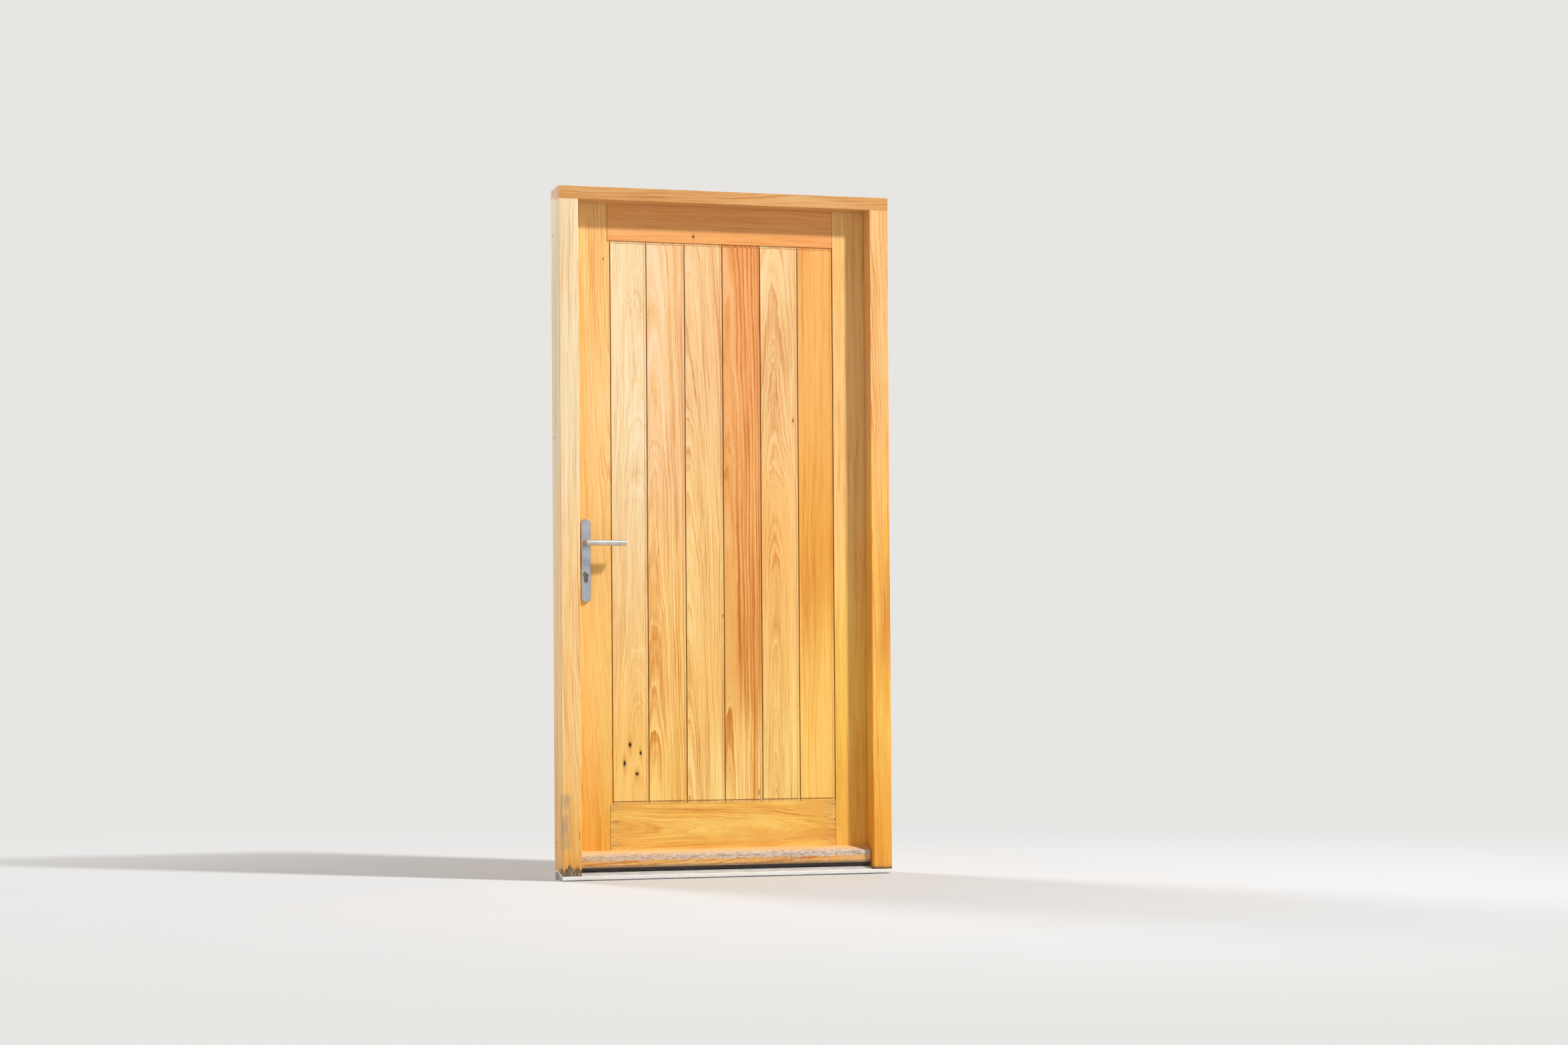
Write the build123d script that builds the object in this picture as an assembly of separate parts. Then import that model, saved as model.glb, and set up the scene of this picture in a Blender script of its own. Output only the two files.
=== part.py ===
from build123d import *
import os
from math import cos, radians, sin

# Boarded oak front door hung in its rebated frame, opening inward, millimetres.
# X runs to the right as seen from outside, Y from outside to inside, Z up.
# The origin lies under the threshold, in the middle of the frame's width and depth.

# Leaf: stiles, rails and boards
leaf_w = 915
leaf_h = 1981
leaf_t = 54
stile_w = 108.5
top_rail_w = 119
bottom_rail_w = 186
skin_t = 15
lap = 12
tenon_l = 60
tenon_t = 16
tenon_inset = 28
shoulder_gap = 1.0
joint_fit = 0.1
over = 1
arris = 1.0

board_count = 6
end_board_cover = 110
quirk_w = 8
quirk_d = 3
board_arris = 0.8
board_gap = 2
board_end_gap = 0.5
tongue_t = 5
tongue_l = 6
tongue_depth = 7
tongue_fit = 0.25

# Frame
jamb_w = 58
head_h = 38
rebate = 12
stop_d = 60
seal_gap = 3
side_gap = 3
top_gap = 3
frame_arris = 2
jamb_tenon_t = 20
jamb_tenon_h = 22
jamb_tenon_inset = 10

# Threshold
nose_lift = 4
nose_h = 10
nose_proud = 3
nose_r = 1.5
ledge_d = 4
ramp_d = 34
ramp_rise = 8.5
plateau_rise = 12
plateau_start = 57
plateau_lip = 3
back_rise = 1
plateau_end = 111
skin_metal = 3
leg_t = 2.5
first_leg_in = 10
rib_count = 3
rib_w = 3
rib_cut = 1.2
rib_slope = 0.4
rib_from = 0.6
leaf_lift = 21

# Weatherboard and bottom seals
weather_proj = 40
weather_h = 49
weather_front_h = 36.5
weather_nose_r = 6
weather_foot_r = 2
weather_gap_lock = 4
weather_gap_hinge = 2
weather_tongue = 6
weather_tongue_h = 10
weather_tongue_up = 20
drip_r = 3
drip_back = 20
drip_seal_back = 7
drip_seal_h = 8
seal_barb_w = 2.8
seal_barb_l = 5.6
seal_fit = 0.2
seal_bulb_w = 8
seal_top_w = 5.6
seal_lip = 1
sweep_gap = 0.3
carrier_w = 12
carrier_h = 10
carrier_t = 1.5
carrier_end = 12

# Handles and cylinder
backset = 38
lever_up = 960
lever_pitch = 92
plate_w = 29.5
plate_t = 9
plate_wall = 3
plate_bevel = 1.5
bolt_over_case = 5
bolt_under_case = 20
plate_past_bolt = 16
bolt_boss_r = 5.5
lever_out = 55
neck_r = 8.5
grip_r = 9
grip_seam = 15.5
lever_reach = 111
tip_round = 1.2
spindle = 8
spindle_fit = 0.05
socket_d = 22
turn_gap = 0.3
root_gap = 0.5
grub_out = 5
bolt_end_gap = 1
stile_room = 1.5
shaft_fit = 0.06
euro_r = 8.5
euro_drop = 33
euro_tail_w = 10
euro_proud = 3
plug_r = 6.5
cam_gap = 10
cam_r = 15
cam_w = 8
keyway_w = 2
keyway_d = 20
keyway_low = 4.5
keyway_high = 3.5
cylinder_screw_past = 3
bridge_h = 8
knob_w = 12
knob_d = 14
knob_h = 30
knob_neck = 3
knob_flat = 0.5
knob_edge_r = 1.5

# Multipoint lock
face_w = 18
face_t = 3
face_from_bottom = 39
face_from_top = 202
face_screw_in = 20
face_screw_beyond = 25
case_t = 16
case_wall = 1.6
case_d = 58
case_room = 1
case_below_plug = 46
case_above_lever = 51
latch_up = 26
latch_h = 20
latch_w = 12
latch_out = 12
latch_body_l = 26
latch_nose = 2
latch_tail_t = 6
latch_tail_h = 5
latch_tail_drop = 1
bolt_up = 27
bolt_h = 20
bolt_w = 10
bolt_l = 45
bolt_throw = 20
bolt_sink = 0.2
bolt_edge = 0.8
follower_r = 10
boss_r = 8.1
finger_w = 6
finger_l = 24
finger_gap = 1.4
lug_up = 18
lug_gap = 1.6
lug_w = 4
spring_t = 1.2
spring_w = 6
spring_gap = 0.6
spring_open_from = 35
spring_open_to = 110
hook_from_end = 170
hook_in = 16
hook_r = 37
hook_w = 7
hook_t = 8
hook_hub_r = 9
hook_rivet_r = 4
hook_from = 66
hook_to = 112
hook_arm = 14
hook_turn = 106
hook_case_d = 37
hook_case_deep = 42
hook_case_short = 40
bar_w = 12
bar_t = 2.5
bar_travel = 10
bar_lap = 2

# Keeps
keep_w = 24
keep_t = 3
keep_margin = 18
keep_screw_in = 8
pocket_gap = 1
pocket_end_gap = 2

# Hinges
hinge_h = 100
flap_t = 3
flap_w = 32
knuckle_r = 6
knuckle_count = 5
knuckle_out = 0.5
flap_proud = 0.2
knuckle_gap = 0.3
pin_r = 3
pin_fit = 0.05
pin_cap_r = 4.6
pin_cap_h = 4
hinge_from_bottom = 225
hinge_from_top = 200
hinge_screw_ups = (38, 14)
hinge_screw_insets = (9, 23)

# Screws and the holes that fix the frame to a wall
screw_head_r = 4
screw_shank_r = 2
screw_head_h = 2.4
screw_fit = 0.1
screw_clear = 0.4
keep_screw_l = 25
hinge_screw_l = 30
frame_screw_l = 70
screw_inset = 11
bolt_shank_r = 2.5
bolt_head_r = 4.5
fixing_r = 4
fixing_count = 4
fixing_pitch = 600
fixing_first = 110
fixing_sink_r = 8
fixing_sink_d = 10

# Cutting shapes run past the faces they cut by the length called over
# Places worked out from the sizes above
frame_d = stop_d + seal_gap + leaf_t
front = -frame_d / 2
back = frame_d / 2
stop_back = front + stop_d
leaf_face = stop_back + seal_gap
leaf_back = leaf_face + leaf_t
mid = (leaf_face + leaf_back) / 2
web_face = leaf_face + skin_t
web_back = leaf_back - skin_t

leaf_x = leaf_w / 2
field_x = leaf_x - stile_w
web_x = field_x - lap
rebate_x = leaf_x + side_gap
stop_x = rebate_x - rebate
frame_x = stop_x + jamb_w
rebate_mid_x = (rebate_x + frame_x) / 2
kerf_x = stop_x + rebate / 2

jamb_foot = nose_lift + nose_h
ramp_top = jamb_foot + ramp_rise
plateau_z = jamb_foot + plateau_rise
leaf_z0 = jamb_foot + leaf_lift
leaf_z1 = leaf_z0 + leaf_h
field_z0 = leaf_z0 + bottom_rail_w
field_z1 = leaf_z1 - top_rail_w
head_rebate_z = leaf_z1 + top_gap
head_z0 = head_rebate_z - rebate
head_z1 = head_z0 + head_h

lock_edge = -leaf_x
lever_x = lock_edge + backset
lever_z = leaf_z0 + lever_up
plug_z = lever_z - lever_pitch
face_in = lock_edge + face_t
face_z0 = leaf_z0 + face_from_bottom
face_z1 = leaf_z1 - face_from_top
case_z0 = plug_z - case_below_plug
case_z1 = lever_z + case_above_lever
plate_bolt_zs = (case_z0 - bolt_under_case, case_z1 + bolt_over_case)
latch_z = lever_z + latch_up
bolt_z = plug_z + bolt_up
hook_x = lock_edge + hook_in
hook_places = {"upper": (face_z1 - hook_from_end, 1), "lower": (face_z0 + hook_from_end, -1)}
hook_drop = hook_r * sin(radians(hook_turn - hook_from))
bar_entry = bar_travel + bar_lap
half_case = case_t / 2
cavity = half_case - case_wall

pin_x = (leaf_x + rebate_x) / 2
pin_y = leaf_back + knuckle_r + knuckle_out
hinge_places = {
    "lower": leaf_z0 + hinge_from_bottom,
    "middle": (leaf_z0 + hinge_from_bottom + leaf_z1 - hinge_from_top) / 2,
    "upper": leaf_z1 - hinge_from_top,
}
fixing_zs = [fixing_first + fixing_pitch * k for k in range(fixing_count)]


def block(xs, ys, zs):
    sizes = [abs(b - a) for a, b in (xs, ys, zs)]
    middle = [(a + b) / 2 for a, b in (xs, ys, zs)]
    return Pos(*middle) * Box(*sizes)


def around(centre, half):
    return (centre - half, centre + half)


def rod_x(radius, xs, y, z):
    return Pos(sum(xs) / 2, y, z) * Rot(0, 90, 0) * Cylinder(radius, abs(xs[1] - xs[0]))


def rod_y(radius, x, ys, z):
    return Pos(x, sum(ys) / 2, z) * Rot(90, 0, 0) * Cylinder(radius, abs(ys[1] - ys[0]))


def rod_z(radius, x, y, zs):
    return Pos(x, y, sum(zs) / 2) * Cylinder(radius, abs(zs[1] - zs[0]))


def along_x(face, xs):
    return extrude(Plane.YZ.offset(min(xs)) * face, abs(xs[1] - xs[0]), dir=(1, 0, 0))


def along_y(face, ys):
    return extrude(Plane.XZ.offset(-min(ys)) * face, abs(ys[1] - ys[0]), dir=(0, 1, 0))


def along_z(face, zs):
    return extrude(Plane.XY.offset(min(zs)) * face, abs(zs[1] - zs[0]), dir=(0, 0, 1))


def outline(*points):
    return Polygon(*points, align=None)


def softened(face, corners, radius):
    for x, y in corners:
        corner = face.vertices().sort_by_distance(Vector(x, y, 0))[0]
        face = fillet(corner, radius)
    return face


def screw(length, shank_r, head_r, grow=0.0):
    cone = Cone(shank_r + grow, head_r + grow, screw_head_h)
    shank = Cylinder(shank_r + grow, length - screw_head_h + grow)
    return Pos(0, 0, -screw_head_h / 2) * cone + Pos(0, 0, -(screw_head_h + length + grow) / 2) * shank


def seated(shape, point, faces):
    return Plane(point, z_dir=faces) * shape


def group(solids):
    return Compound(children=list(solids))


# Frame

def threshold_top():
    return [
        (front - nose_proud, nose_lift), (front - nose_proud, jamb_foot), (front + ledge_d, jamb_foot),
        (front + ramp_d, ramp_top),
        (front + plateau_start - plateau_lip, ramp_top + back_rise),
        (front + plateau_start, plateau_z), (front + plateau_end, plateau_z),
        (back, ramp_top + back_rise),
    ]


def threshold():
    top = threshold_top()
    face = outline(*top, (back, 0), (front - nose_proud, 0))
    face = softened(face, [(front - nose_proud, jamb_foot)], nose_r)
    first_leg = front + first_leg_in
    face -= hollow_under(front - nose_proud - over, first_leg, nose_lift)
    face -= hollow_under(front - nose_proud + skin_metal, first_leg, jamb_foot - skin_metal)
    legs = [first_leg, front + ramp_d, -leg_t / 2, front + plateau_end - leg_t, back - leg_t]
    for leg, next_leg in zip(legs, legs[1:]):
        bay = leg + leg_t
        face -= hollow_under(bay, next_leg, min(z_at(bay), z_at(next_leg)) - skin_metal)
    pitch = (ramp_d - ledge_d) / rib_count
    for k in range(rib_count):
        y = front + ledge_d + pitch * (k + rib_from)
        z = z_at(y + rib_w / 2)
        floor = z - rib_cut
        face -= outline((y, floor), (y + rib_w, floor + rib_slope), (y + rib_w, z + rib_w), (y, z + rib_w))
    body = along_x(face, (-frame_x, frame_x))
    for side in (-1, 1):
        for y in threshold_screw_ys():
            body -= rod_z(screw_shank_r + screw_clear, side * rebate_mid_x, y, (0, plateau_z + over))
    return body


def hollow_under(y0, y1, ceiling):
    return outline((y0, -over), (y1, -over), (y1, ceiling), (y0, ceiling))


def z_at(y):
    points = threshold_top()[1:]
    for (y0, z0), (y1, z1) in zip(points, points[1:]):
        if y0 <= y <= y1:
            return z0 + (z1 - z0) * (y - y0) / (y1 - y0)
    return points[-1][1]


def threshold_screw_ys():
    return (front + plateau_start + screw_inset, front + plateau_end - screw_inset)


def head_screw_ys():
    return (front + screw_inset, back - 2 * screw_inset)


def corner_screws(grow=0.0):
    places = []
    long_screw = screw(frame_screw_l, screw_shank_r, screw_head_r, grow)
    for side in (-1, 1):
        x = side * rebate_mid_x
        places += [seated(long_screw, (x, y, head_z1), (0, 0, 1)) for y in head_screw_ys()]
        below = plateau_z - skin_metal - screw_head_h
        places += [seated(long_screw, (x, y, below), (0, 0, -1)) for y in threshold_screw_ys()]
    return places


def frame_screws():
    flaps = [one for z in hinge_places.values() for one in flap_screws(z, False)]
    return corner_screws() + keep_screws() + flaps


def screw_holes(point, faces, length, shank_r=screw_shank_r, head_r=screw_head_r):
    return seated(screw(length, shank_r, head_r, screw_fit), point, faces)


def jamb(side):
    face = outline(
        (side * stop_x, front), (side * frame_x, front), (side * frame_x, back),
        (side * rebate_x, back), (side * rebate_x, stop_back), (side * stop_x, stop_back),
    )
    rounded = [(side * stop_x, front), (side * frame_x, front), (side * rebate_x, back)]
    face = softened(face, rounded, frame_arris)
    body = along_z(face, (0, head_rebate_z))
    above = (head_z0, head_rebate_z + over)
    body -= block((0, side * (frame_x + over)), (front - over, stop_back), above)
    body += jamb_tenon(side, 0)
    under = outline(*threshold_top(), (back + over, ramp_top + back_rise), (back + over, -over),
                    (front - nose_proud, -over))
    body -= along_x(under, (-frame_x - over, frame_x + over))
    kerf = around(side * kerf_x, seal_barb_w / 2 + seal_fit / 2)
    body -= block(kerf, (stop_back - seal_barb_l - seal_fit, stop_back + over), (0, head_z0))
    for z in fixing_zs:
        body -= rod_x(fixing_r, (side * (rebate_x - over), side * (frame_x + over)), mid, z)
        sink = (side * (rebate_x - over), side * (rebate_x + fixing_sink_d))
        body -= rod_x(fixing_sink_r, sink, mid, z)
    for hole in corner_screws(screw_fit):
        body -= hole
    return body


def jamb_tenon(side, grow):
    xs = (side * (stop_x + jamb_tenon_inset - grow), side * (frame_x - jamb_tenon_inset + grow))
    ys = around(front + stop_d / 2, jamb_tenon_t / 2 + grow)
    return block(xs, ys, (head_z0, head_z0 + jamb_tenon_h + grow))


def head():
    face = outline(
        (front, head_z0), (stop_back, head_z0), (stop_back, head_rebate_z),
        (back, head_rebate_z), (back, head_z1), (front, head_z1),
    )
    face = softened(face, [(front, head_z0), (front, head_z1), (back, head_rebate_z)], arris)
    body = along_x(face, (-frame_x, frame_x))
    kerf = around(head_z0 + rebate / 2, seal_barb_w / 2 + seal_fit / 2)
    body -= block((-kerf_x, kerf_x), (stop_back - seal_barb_l - seal_fit, stop_back + over), kerf)
    for side in (-1, 1):
        body -= jamb_tenon(side, joint_fit)
    for hole in corner_screws(screw_fit):
        body -= hole
    return body


def bulb_seal(centre, direction):
    barb = seal_barb_w / 2
    bulb = seal_bulb_w / 2
    tip = seal_top_w / 2
    top = stop_back + seal_gap - sweep_gap
    points = [
        (-barb, stop_back - seal_barb_l), (barb, stop_back - seal_barb_l), (barb, stop_back),
        (bulb, stop_back), (tip, top), (-tip, top), (-bulb, stop_back), (-barb, stop_back),
    ]
    if direction == "z":
        return outline(*[(centre + u, y) for u, y in points])
    return outline(*[(y, centre + u) for u, y in points])


def frame_seals():
    seals = []
    head_line = head_z0 + rebate / 2
    for side in (-1, 1):
        post = along_z(bulb_seal(side * kerf_x, "z"), (plateau_z + sweep_gap, head_z0))
        seals.append(post)
    span = kerf_x - seal_bulb_w / 2 - sweep_gap
    seals.append(along_x(bulb_seal(head_line, "x"), (-span, span)))
    return seals


# Leaf joinery

def rail_zs():
    return {"top": (field_z1, leaf_z1), "bottom": (leaf_z0, field_z0)}


def tenon(side, zs, grow):
    xs = (side * (web_x - over), side * (field_x + tenon_l + grow))
    ys = around(mid, tenon_t / 2 + grow)
    return block(xs, ys, (zs[0] + tenon_inset - grow, zs[1] - tenon_inset + grow))


def stile(side):
    face = outline((side * field_x, leaf_face), (side * leaf_x, leaf_face),
                   (side * leaf_x, leaf_back), (side * field_x, leaf_back))
    face = fillet(face.vertices(), arris)
    body = along_z(face, (leaf_z0, leaf_z1))
    body += block((side * web_x, side * (field_x + over)), (web_face, web_back), (leaf_z0, leaf_z1))
    body += stile_lip() if side < 0 else inside_out(stile_lip())
    for zs in rail_zs().values():
        body -= tenon(side, zs, joint_fit)
    return body - carrier_groove()


def stile_lip():
    xs = (-field_x - over, -field_x + quirk_w)
    return block(xs, (leaf_face + quirk_d, web_face), (field_z0 + joint_fit, field_z1 - joint_fit))


def rail(name):
    z0, z1 = rail_zs()[name]
    end = field_x - shoulder_gap
    corners = outline((leaf_face, z0), (leaf_back, z0), (leaf_back, z1), (leaf_face, z1)).vertices()
    face = fillet(corners, arris)
    body = along_x(face, (-end, end))
    web_zs = (z1 - over, z1 + lap) if name == "bottom" else (z0 - lap, z0 + over)
    body += block((-web_x + joint_fit, web_x - joint_fit), (web_face, web_back), web_zs)
    for side in (-1, 1):
        beside = (side * (web_x - joint_fit), side * leaf_x)
        past = (z0 - lap - over, z1 + lap + over)
        body -= block(beside, (web_face - joint_fit, web_back + joint_fit), past)
        body += tenon(side, (z0, z1), 0)
    return body


def weather_tongue_block(grow):
    xs = around(0, field_x - tongue_l + grow)
    z0 = leaf_z0 + weather_tongue_up
    ys = (leaf_face - over, leaf_face + weather_tongue + grow)
    return block(xs, ys, (z0 - grow, z0 + weather_tongue_h + grow))


def carrier_groove():
    xs = around(0, leaf_x - carrier_end + joint_fit)
    ys = around(mid, carrier_w / 2 + joint_fit)
    return block(xs, ys, (leaf_z0 - over, leaf_z0 + carrier_h + joint_fit))


def core():
    xs = around(0, web_x - joint_fit)
    return block(xs, (web_face, web_back), (field_z0 + lap + joint_fit, field_z1 - lap - joint_fit))


def board_joints():
    first = -field_x + quirk_w + board_gap / 2
    last = field_x - board_gap / 2
    inner = (last - first - 2 * end_board_cover) / (board_count - 2)
    between = [first + end_board_cover + inner * k for k in range(board_count - 1)]
    return [first] + between + [last]


def board(k):
    joints = board_joints()
    x0 = joints[k] + board_gap / 2
    x1 = joints[k + 1] - board_gap / 2
    raised = x1 - quirk_w
    floor = leaf_face + quirk_d
    near = leaf_face + tongue_depth
    far = near + tongue_t
    points = [(x0, leaf_face + board_arris), (x0 + board_arris, leaf_face),
              (raised - board_arris, leaf_face), (raised, leaf_face + board_arris),
              (raised, floor), (x1, floor)]
    if k < board_count - 1:
        points += [(x1, near), (x1 + tongue_l, near), (x1 + tongue_l, far), (x1, far)]
    points += [(x1, web_face), (x0, web_face)]
    if k > 0:
        depth = x0 + tongue_l + tongue_fit
        points += [(x0, far + tongue_fit), (depth, far + tongue_fit),
                   (depth, near - tongue_fit), (x0, near - tongue_fit)]
    z0 = field_z0 + board_end_gap
    z1 = field_z1 - board_end_gap
    body = along_z(outline(*points), (z0, z1))
    for z, way in ((z0, 1), (z1, -1)):
        shoulder = z + way * quirk_w
        outside = leaf_face - over
        step = outline((outside, z - way * over), (floor, z - way * over), (floor, shoulder),
                       (leaf_face + board_arris, shoulder), (leaf_face, shoulder + way * board_arris),
                       (outside, shoulder + way * board_arris))
        body -= along_x(step, (x0 - over, x1 + over))
    return body


def inside_out(shape):
    return Pos(0, mid, 0) * Rot(0, 0, 180) * Pos(0, -mid, 0) * shape


def weatherboard():
    nose = leaf_face - weather_proj
    top_front = (nose, leaf_z0 + weather_front_h)
    face = outline((leaf_face, leaf_z0), (nose, leaf_z0), top_front, (leaf_face, leaf_z0 + weather_h))
    face = softened(face, [top_front], weather_nose_r)
    face = softened(face, [(nose, leaf_z0)], weather_foot_r)
    face -= Pos(nose + drip_back, leaf_z0) * Circle(drip_r)
    barb = seal_barb_w / 2 + seal_fit / 2
    y = nose + drip_seal_back
    face -= outline((y - barb, leaf_z0 - over), (y + barb, leaf_z0 - over),
                    (y + barb, leaf_z0 + seal_barb_l + seal_fit),
                    (y - barb, leaf_z0 + seal_barb_l + seal_fit))
    return along_x(face, weather_xs()) + weather_tongue_block(0)


def weather_xs():
    return (-stop_x + weather_gap_lock, stop_x - weather_gap_hinge)


def drip_seal():
    y = leaf_face - weather_proj + drip_seal_back
    barb = seal_barb_w / 2
    foot = leaf_z0 - drip_seal_h
    top = leaf_z0 + seal_barb_l
    face = outline((y - barb, top), (y + barb, top), (y + barb, leaf_z0), (y + 2 * barb, leaf_z0),
                   (y + barb, foot), (y - barb, foot), (y - 2 * barb, leaf_z0), (y - barb, leaf_z0))
    return along_x(face, weather_xs())


def seal_carrier():
    half = carrier_w / 2
    inner = half - carrier_t
    ceiling = leaf_z0 + carrier_h - carrier_t
    face = outline((mid - half, leaf_z0), (mid + half, leaf_z0),
                   (mid + half, leaf_z0 + carrier_h), (mid - half, leaf_z0 + carrier_h))
    face -= outline((mid - inner, leaf_z0 - over), (mid + inner, leaf_z0 - over),
                    (mid + inner, ceiling), (mid - inner, ceiling))
    return along_x(face, around(0, leaf_x - carrier_end))


def bottom_seal():
    inner = carrier_w / 2 - carrier_t - seal_fit
    top = leaf_z0 + carrier_h - carrier_t - seal_fit
    foot = plateau_z + sweep_gap
    face = outline((mid - inner, top), (mid + inner, top), (mid + inner, leaf_z0), (mid + seal_lip, foot),
                   (mid - seal_lip, foot), (mid - inner, leaf_z0))
    return along_x(face, around(0, leaf_x - carrier_end))


# Handles and cylinder

def upright_slot(centre, zs, width, grow):
    slot = Rot(0, 0, 90) * SlotOverall(zs[1] - zs[0] + 2 * grow, width + 2 * grow)
    return Pos(centre, sum(zs) / 2) * slot


def plate_outline(grow):
    low, high = plate_bolt_zs
    return upright_slot(lever_x, (low - plate_past_bolt, high + plate_past_bolt), plate_w, grow)


def euro_outline(grow):
    tail_r = euro_tail_w / 2 + grow
    tail_z = plug_z + euro_r - euro_drop + euro_tail_w / 2
    tail = outline((lever_x - tail_r, plug_z), (lever_x - tail_r, tail_z),
                   (lever_x + tail_r, tail_z), (lever_x + tail_r, plug_z))
    return Pos(lever_x, plug_z) * Circle(euro_r + grow) + tail + Pos(lever_x, tail_z) * Circle(tail_r)


def plain_plate():
    ys = (leaf_face - plate_t, leaf_face)
    body = along_y(plate_outline(0), ys)
    body = chamfer(body.faces().sort_by(Axis.Y)[0].edges(), plate_bevel)
    body -= along_y(plate_outline(-plate_wall), (leaf_face - plate_t + plate_wall, leaf_face + over))
    for z in plate_bolt_zs:
        body += rod_y(bolt_boss_r, lever_x, (leaf_face - plate_t + plate_wall, leaf_face), z)
    through = (leaf_face - plate_t - over, leaf_face + over)
    body -= rod_y(neck_r + turn_gap, lever_x, through, lever_z)
    return body - along_y(euro_outline(turn_gap), through)


def other_face(shape):
    return mirror(shape, about=Plane.XZ.offset(-mid))


def plate_bolts(grow=0.0):
    length = leaf_t + 2 * plate_t - plate_wall - bolt_end_gap
    bolt = screw(length, bolt_shank_r, bolt_head_r, grow)
    return [seated(bolt, (lever_x, leaf_back + plate_t, z), (0, 1, 0)) for z in plate_bolt_zs]


def outer_backplate():
    body = plain_plate()
    for bolt in plate_bolts(screw_fit):
        body -= bolt
    return body


def inner_backplate():
    body = other_face(plain_plate())
    for bolt in plate_bolts(screw_fit):
        body -= bolt
    return body


def lever():
    root = leaf_face - root_gap
    axis_y = leaf_face - lever_out
    path = Polyline((lever_x, root, lever_z), (lever_x, axis_y, lever_z),
                    (lever_x + grip_seam, axis_y, lever_z))
    section = Plane((lever_x, root, lever_z), z_dir=(0, -1, 0)) * Circle(neck_r)
    neck = sweep(section, path=path, transition=Transition.RIGHT)
    grip = rod_x(grip_r, (lever_x + grip_seam, lever_x + lever_reach), axis_y, lever_z)
    grip = fillet(grip.faces().sort_by(Axis.X)[-1].edges(), tip_round)
    side = spindle / 2 + spindle_fit
    socket = block(around(lever_x, side), (root - socket_d, root + over), around(lever_z, side))
    return neck + grip - socket - grub_screw(screw_fit)


def grub_screw(grow):
    y = leaf_face - plate_t - grub_out
    zs = (lever_z - neck_r - grow, lever_z - spindle / 2 - joint_fit)
    return rod_z(bolt_shank_r + grow, lever_x, y, zs)


def spindle_bar(grow):
    half = spindle / 2 + grow
    reach = socket_d - bolt_end_gap
    return block(around(lever_x, half), (leaf_face - reach, leaf_back + reach), around(lever_z, half))


def follower():
    body = rod_y(boss_r - shaft_fit, lever_x, around(mid, half_case), lever_z)
    body += rod_y(follower_r, lever_x, around(mid, cavity - turn_gap), lever_z)
    body += block(around(lever_x, finger_w / 2), around(mid, cavity - finger_gap),
                  (lever_z, lever_z + finger_l))
    return body - spindle_bar(spindle_fit)


def return_spring():
    inner = follower_r + spring_gap
    ring = Circle(inner + spring_t) - Circle(inner)
    reach = 3 * follower_r
    halfway = (spring_open_from + spring_open_to) / 2
    opening = [radians(a) for a in (spring_open_from, halfway, spring_open_to)]
    ring -= outline((0, 0), *[(reach * cos(a), reach * sin(a)) for a in opening])
    return along_y(Pos(lever_x, lever_z) * ring, around(mid, spring_w / 2))


def cylinder_ys():
    proud = plate_t + euro_proud
    return (leaf_face - proud, leaf_back + proud)


def cylinder_screw(grow=0.0):
    place = (lock_edge, mid, plug_z + euro_r - euro_drop + bridge_h / 2)
    length = backset + cylinder_screw_past
    return seated(screw(length, bolt_shank_r, bolt_head_r, grow), place, (-1, 0, 0))


def cylinder_body():
    body = along_y(euro_outline(0), cylinder_ys())
    y0, y1 = cylinder_ys()
    body -= rod_y(plug_r, lever_x, (y0 - over, y1 + over), plug_z)
    bridge = plug_z + euro_r - euro_drop + bridge_h
    body -= block(around(lever_x, euro_r + over), around(mid, cam_gap / 2), (bridge, plug_z + euro_r + over))
    return body - cylinder_screw(screw_fit)


def key_plug():
    start = cylinder_ys()[0]
    body = rod_y(plug_r - shaft_fit, lever_x, (start, mid - cam_gap / 2 - turn_gap), plug_z)
    keyway_zs = (plug_z - keyway_low, plug_z + keyway_high)
    return body - block(around(lever_x, keyway_w / 2), (start - over, start + keyway_d), keyway_zs)


def cam_plug():
    half = cam_gap / 2 - turn_gap
    body = rod_y(plug_r - shaft_fit, lever_x, (mid - half, cylinder_ys()[1]), plug_z)
    body += rod_y(euro_r, lever_x, around(mid, half), plug_z)
    lobe = block(around(lever_x, cam_w / 2), around(mid, half), (plug_z - cam_r, plug_z))
    return body + (lobe & rod_y(cam_r, lever_x, around(mid, half), plug_z))


def thumb_turn():
    start = cylinder_ys()[1]
    foot = start + knob_neck
    neck = rod_y(plug_r, lever_x, (start, foot + over), plug_z)
    knob = block(around(lever_x, knob_w / 2), (foot, foot + knob_d), around(plug_z, knob_h / 2))
    knob = fillet(knob.edges().filter_by(Axis.Y), knob_w / 2 - knob_flat)
    return neck + fillet(knob.faces().sort_by(Axis.Y)[-1].edges(), knob_edge_r)


# Multipoint lock

def face_outline(grow):
    return upright_slot(mid, (face_z0, face_z1), face_w, grow)


def face_screw_zs():
    inner = [z + way * (hook_case_deep + face_screw_beyond) for z, way in hook_places.values()]
    return inner + [face_z0 + face_screw_in, face_z1 - face_screw_in]


def hook_slot(name, xs):
    z, way = hook_places[name]
    zs = (z - way * (hook_w + pocket_gap), z + way * hook_r)
    return block(xs, around(mid, hook_t / 2 + pocket_gap), zs)


def lock_faceplate():
    body = along_x(face_outline(0), (lock_edge, face_in))
    xs = (lock_edge - over, face_in + over)
    body -= block(xs, around(mid, latch_w / 2 + turn_gap), around(latch_z, latch_h / 2 + turn_gap))
    body -= block(xs, around(mid, bolt_w / 2 + turn_gap), around(bolt_z, bolt_h / 2 + turn_gap))
    for name in hook_places:
        body -= hook_slot(name, xs)
    for z in face_screw_zs():
        body -= screw_holes((lock_edge, mid, z), (-1, 0, 0), keep_screw_l)
    return body - cylinder_screw(screw_fit)


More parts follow.
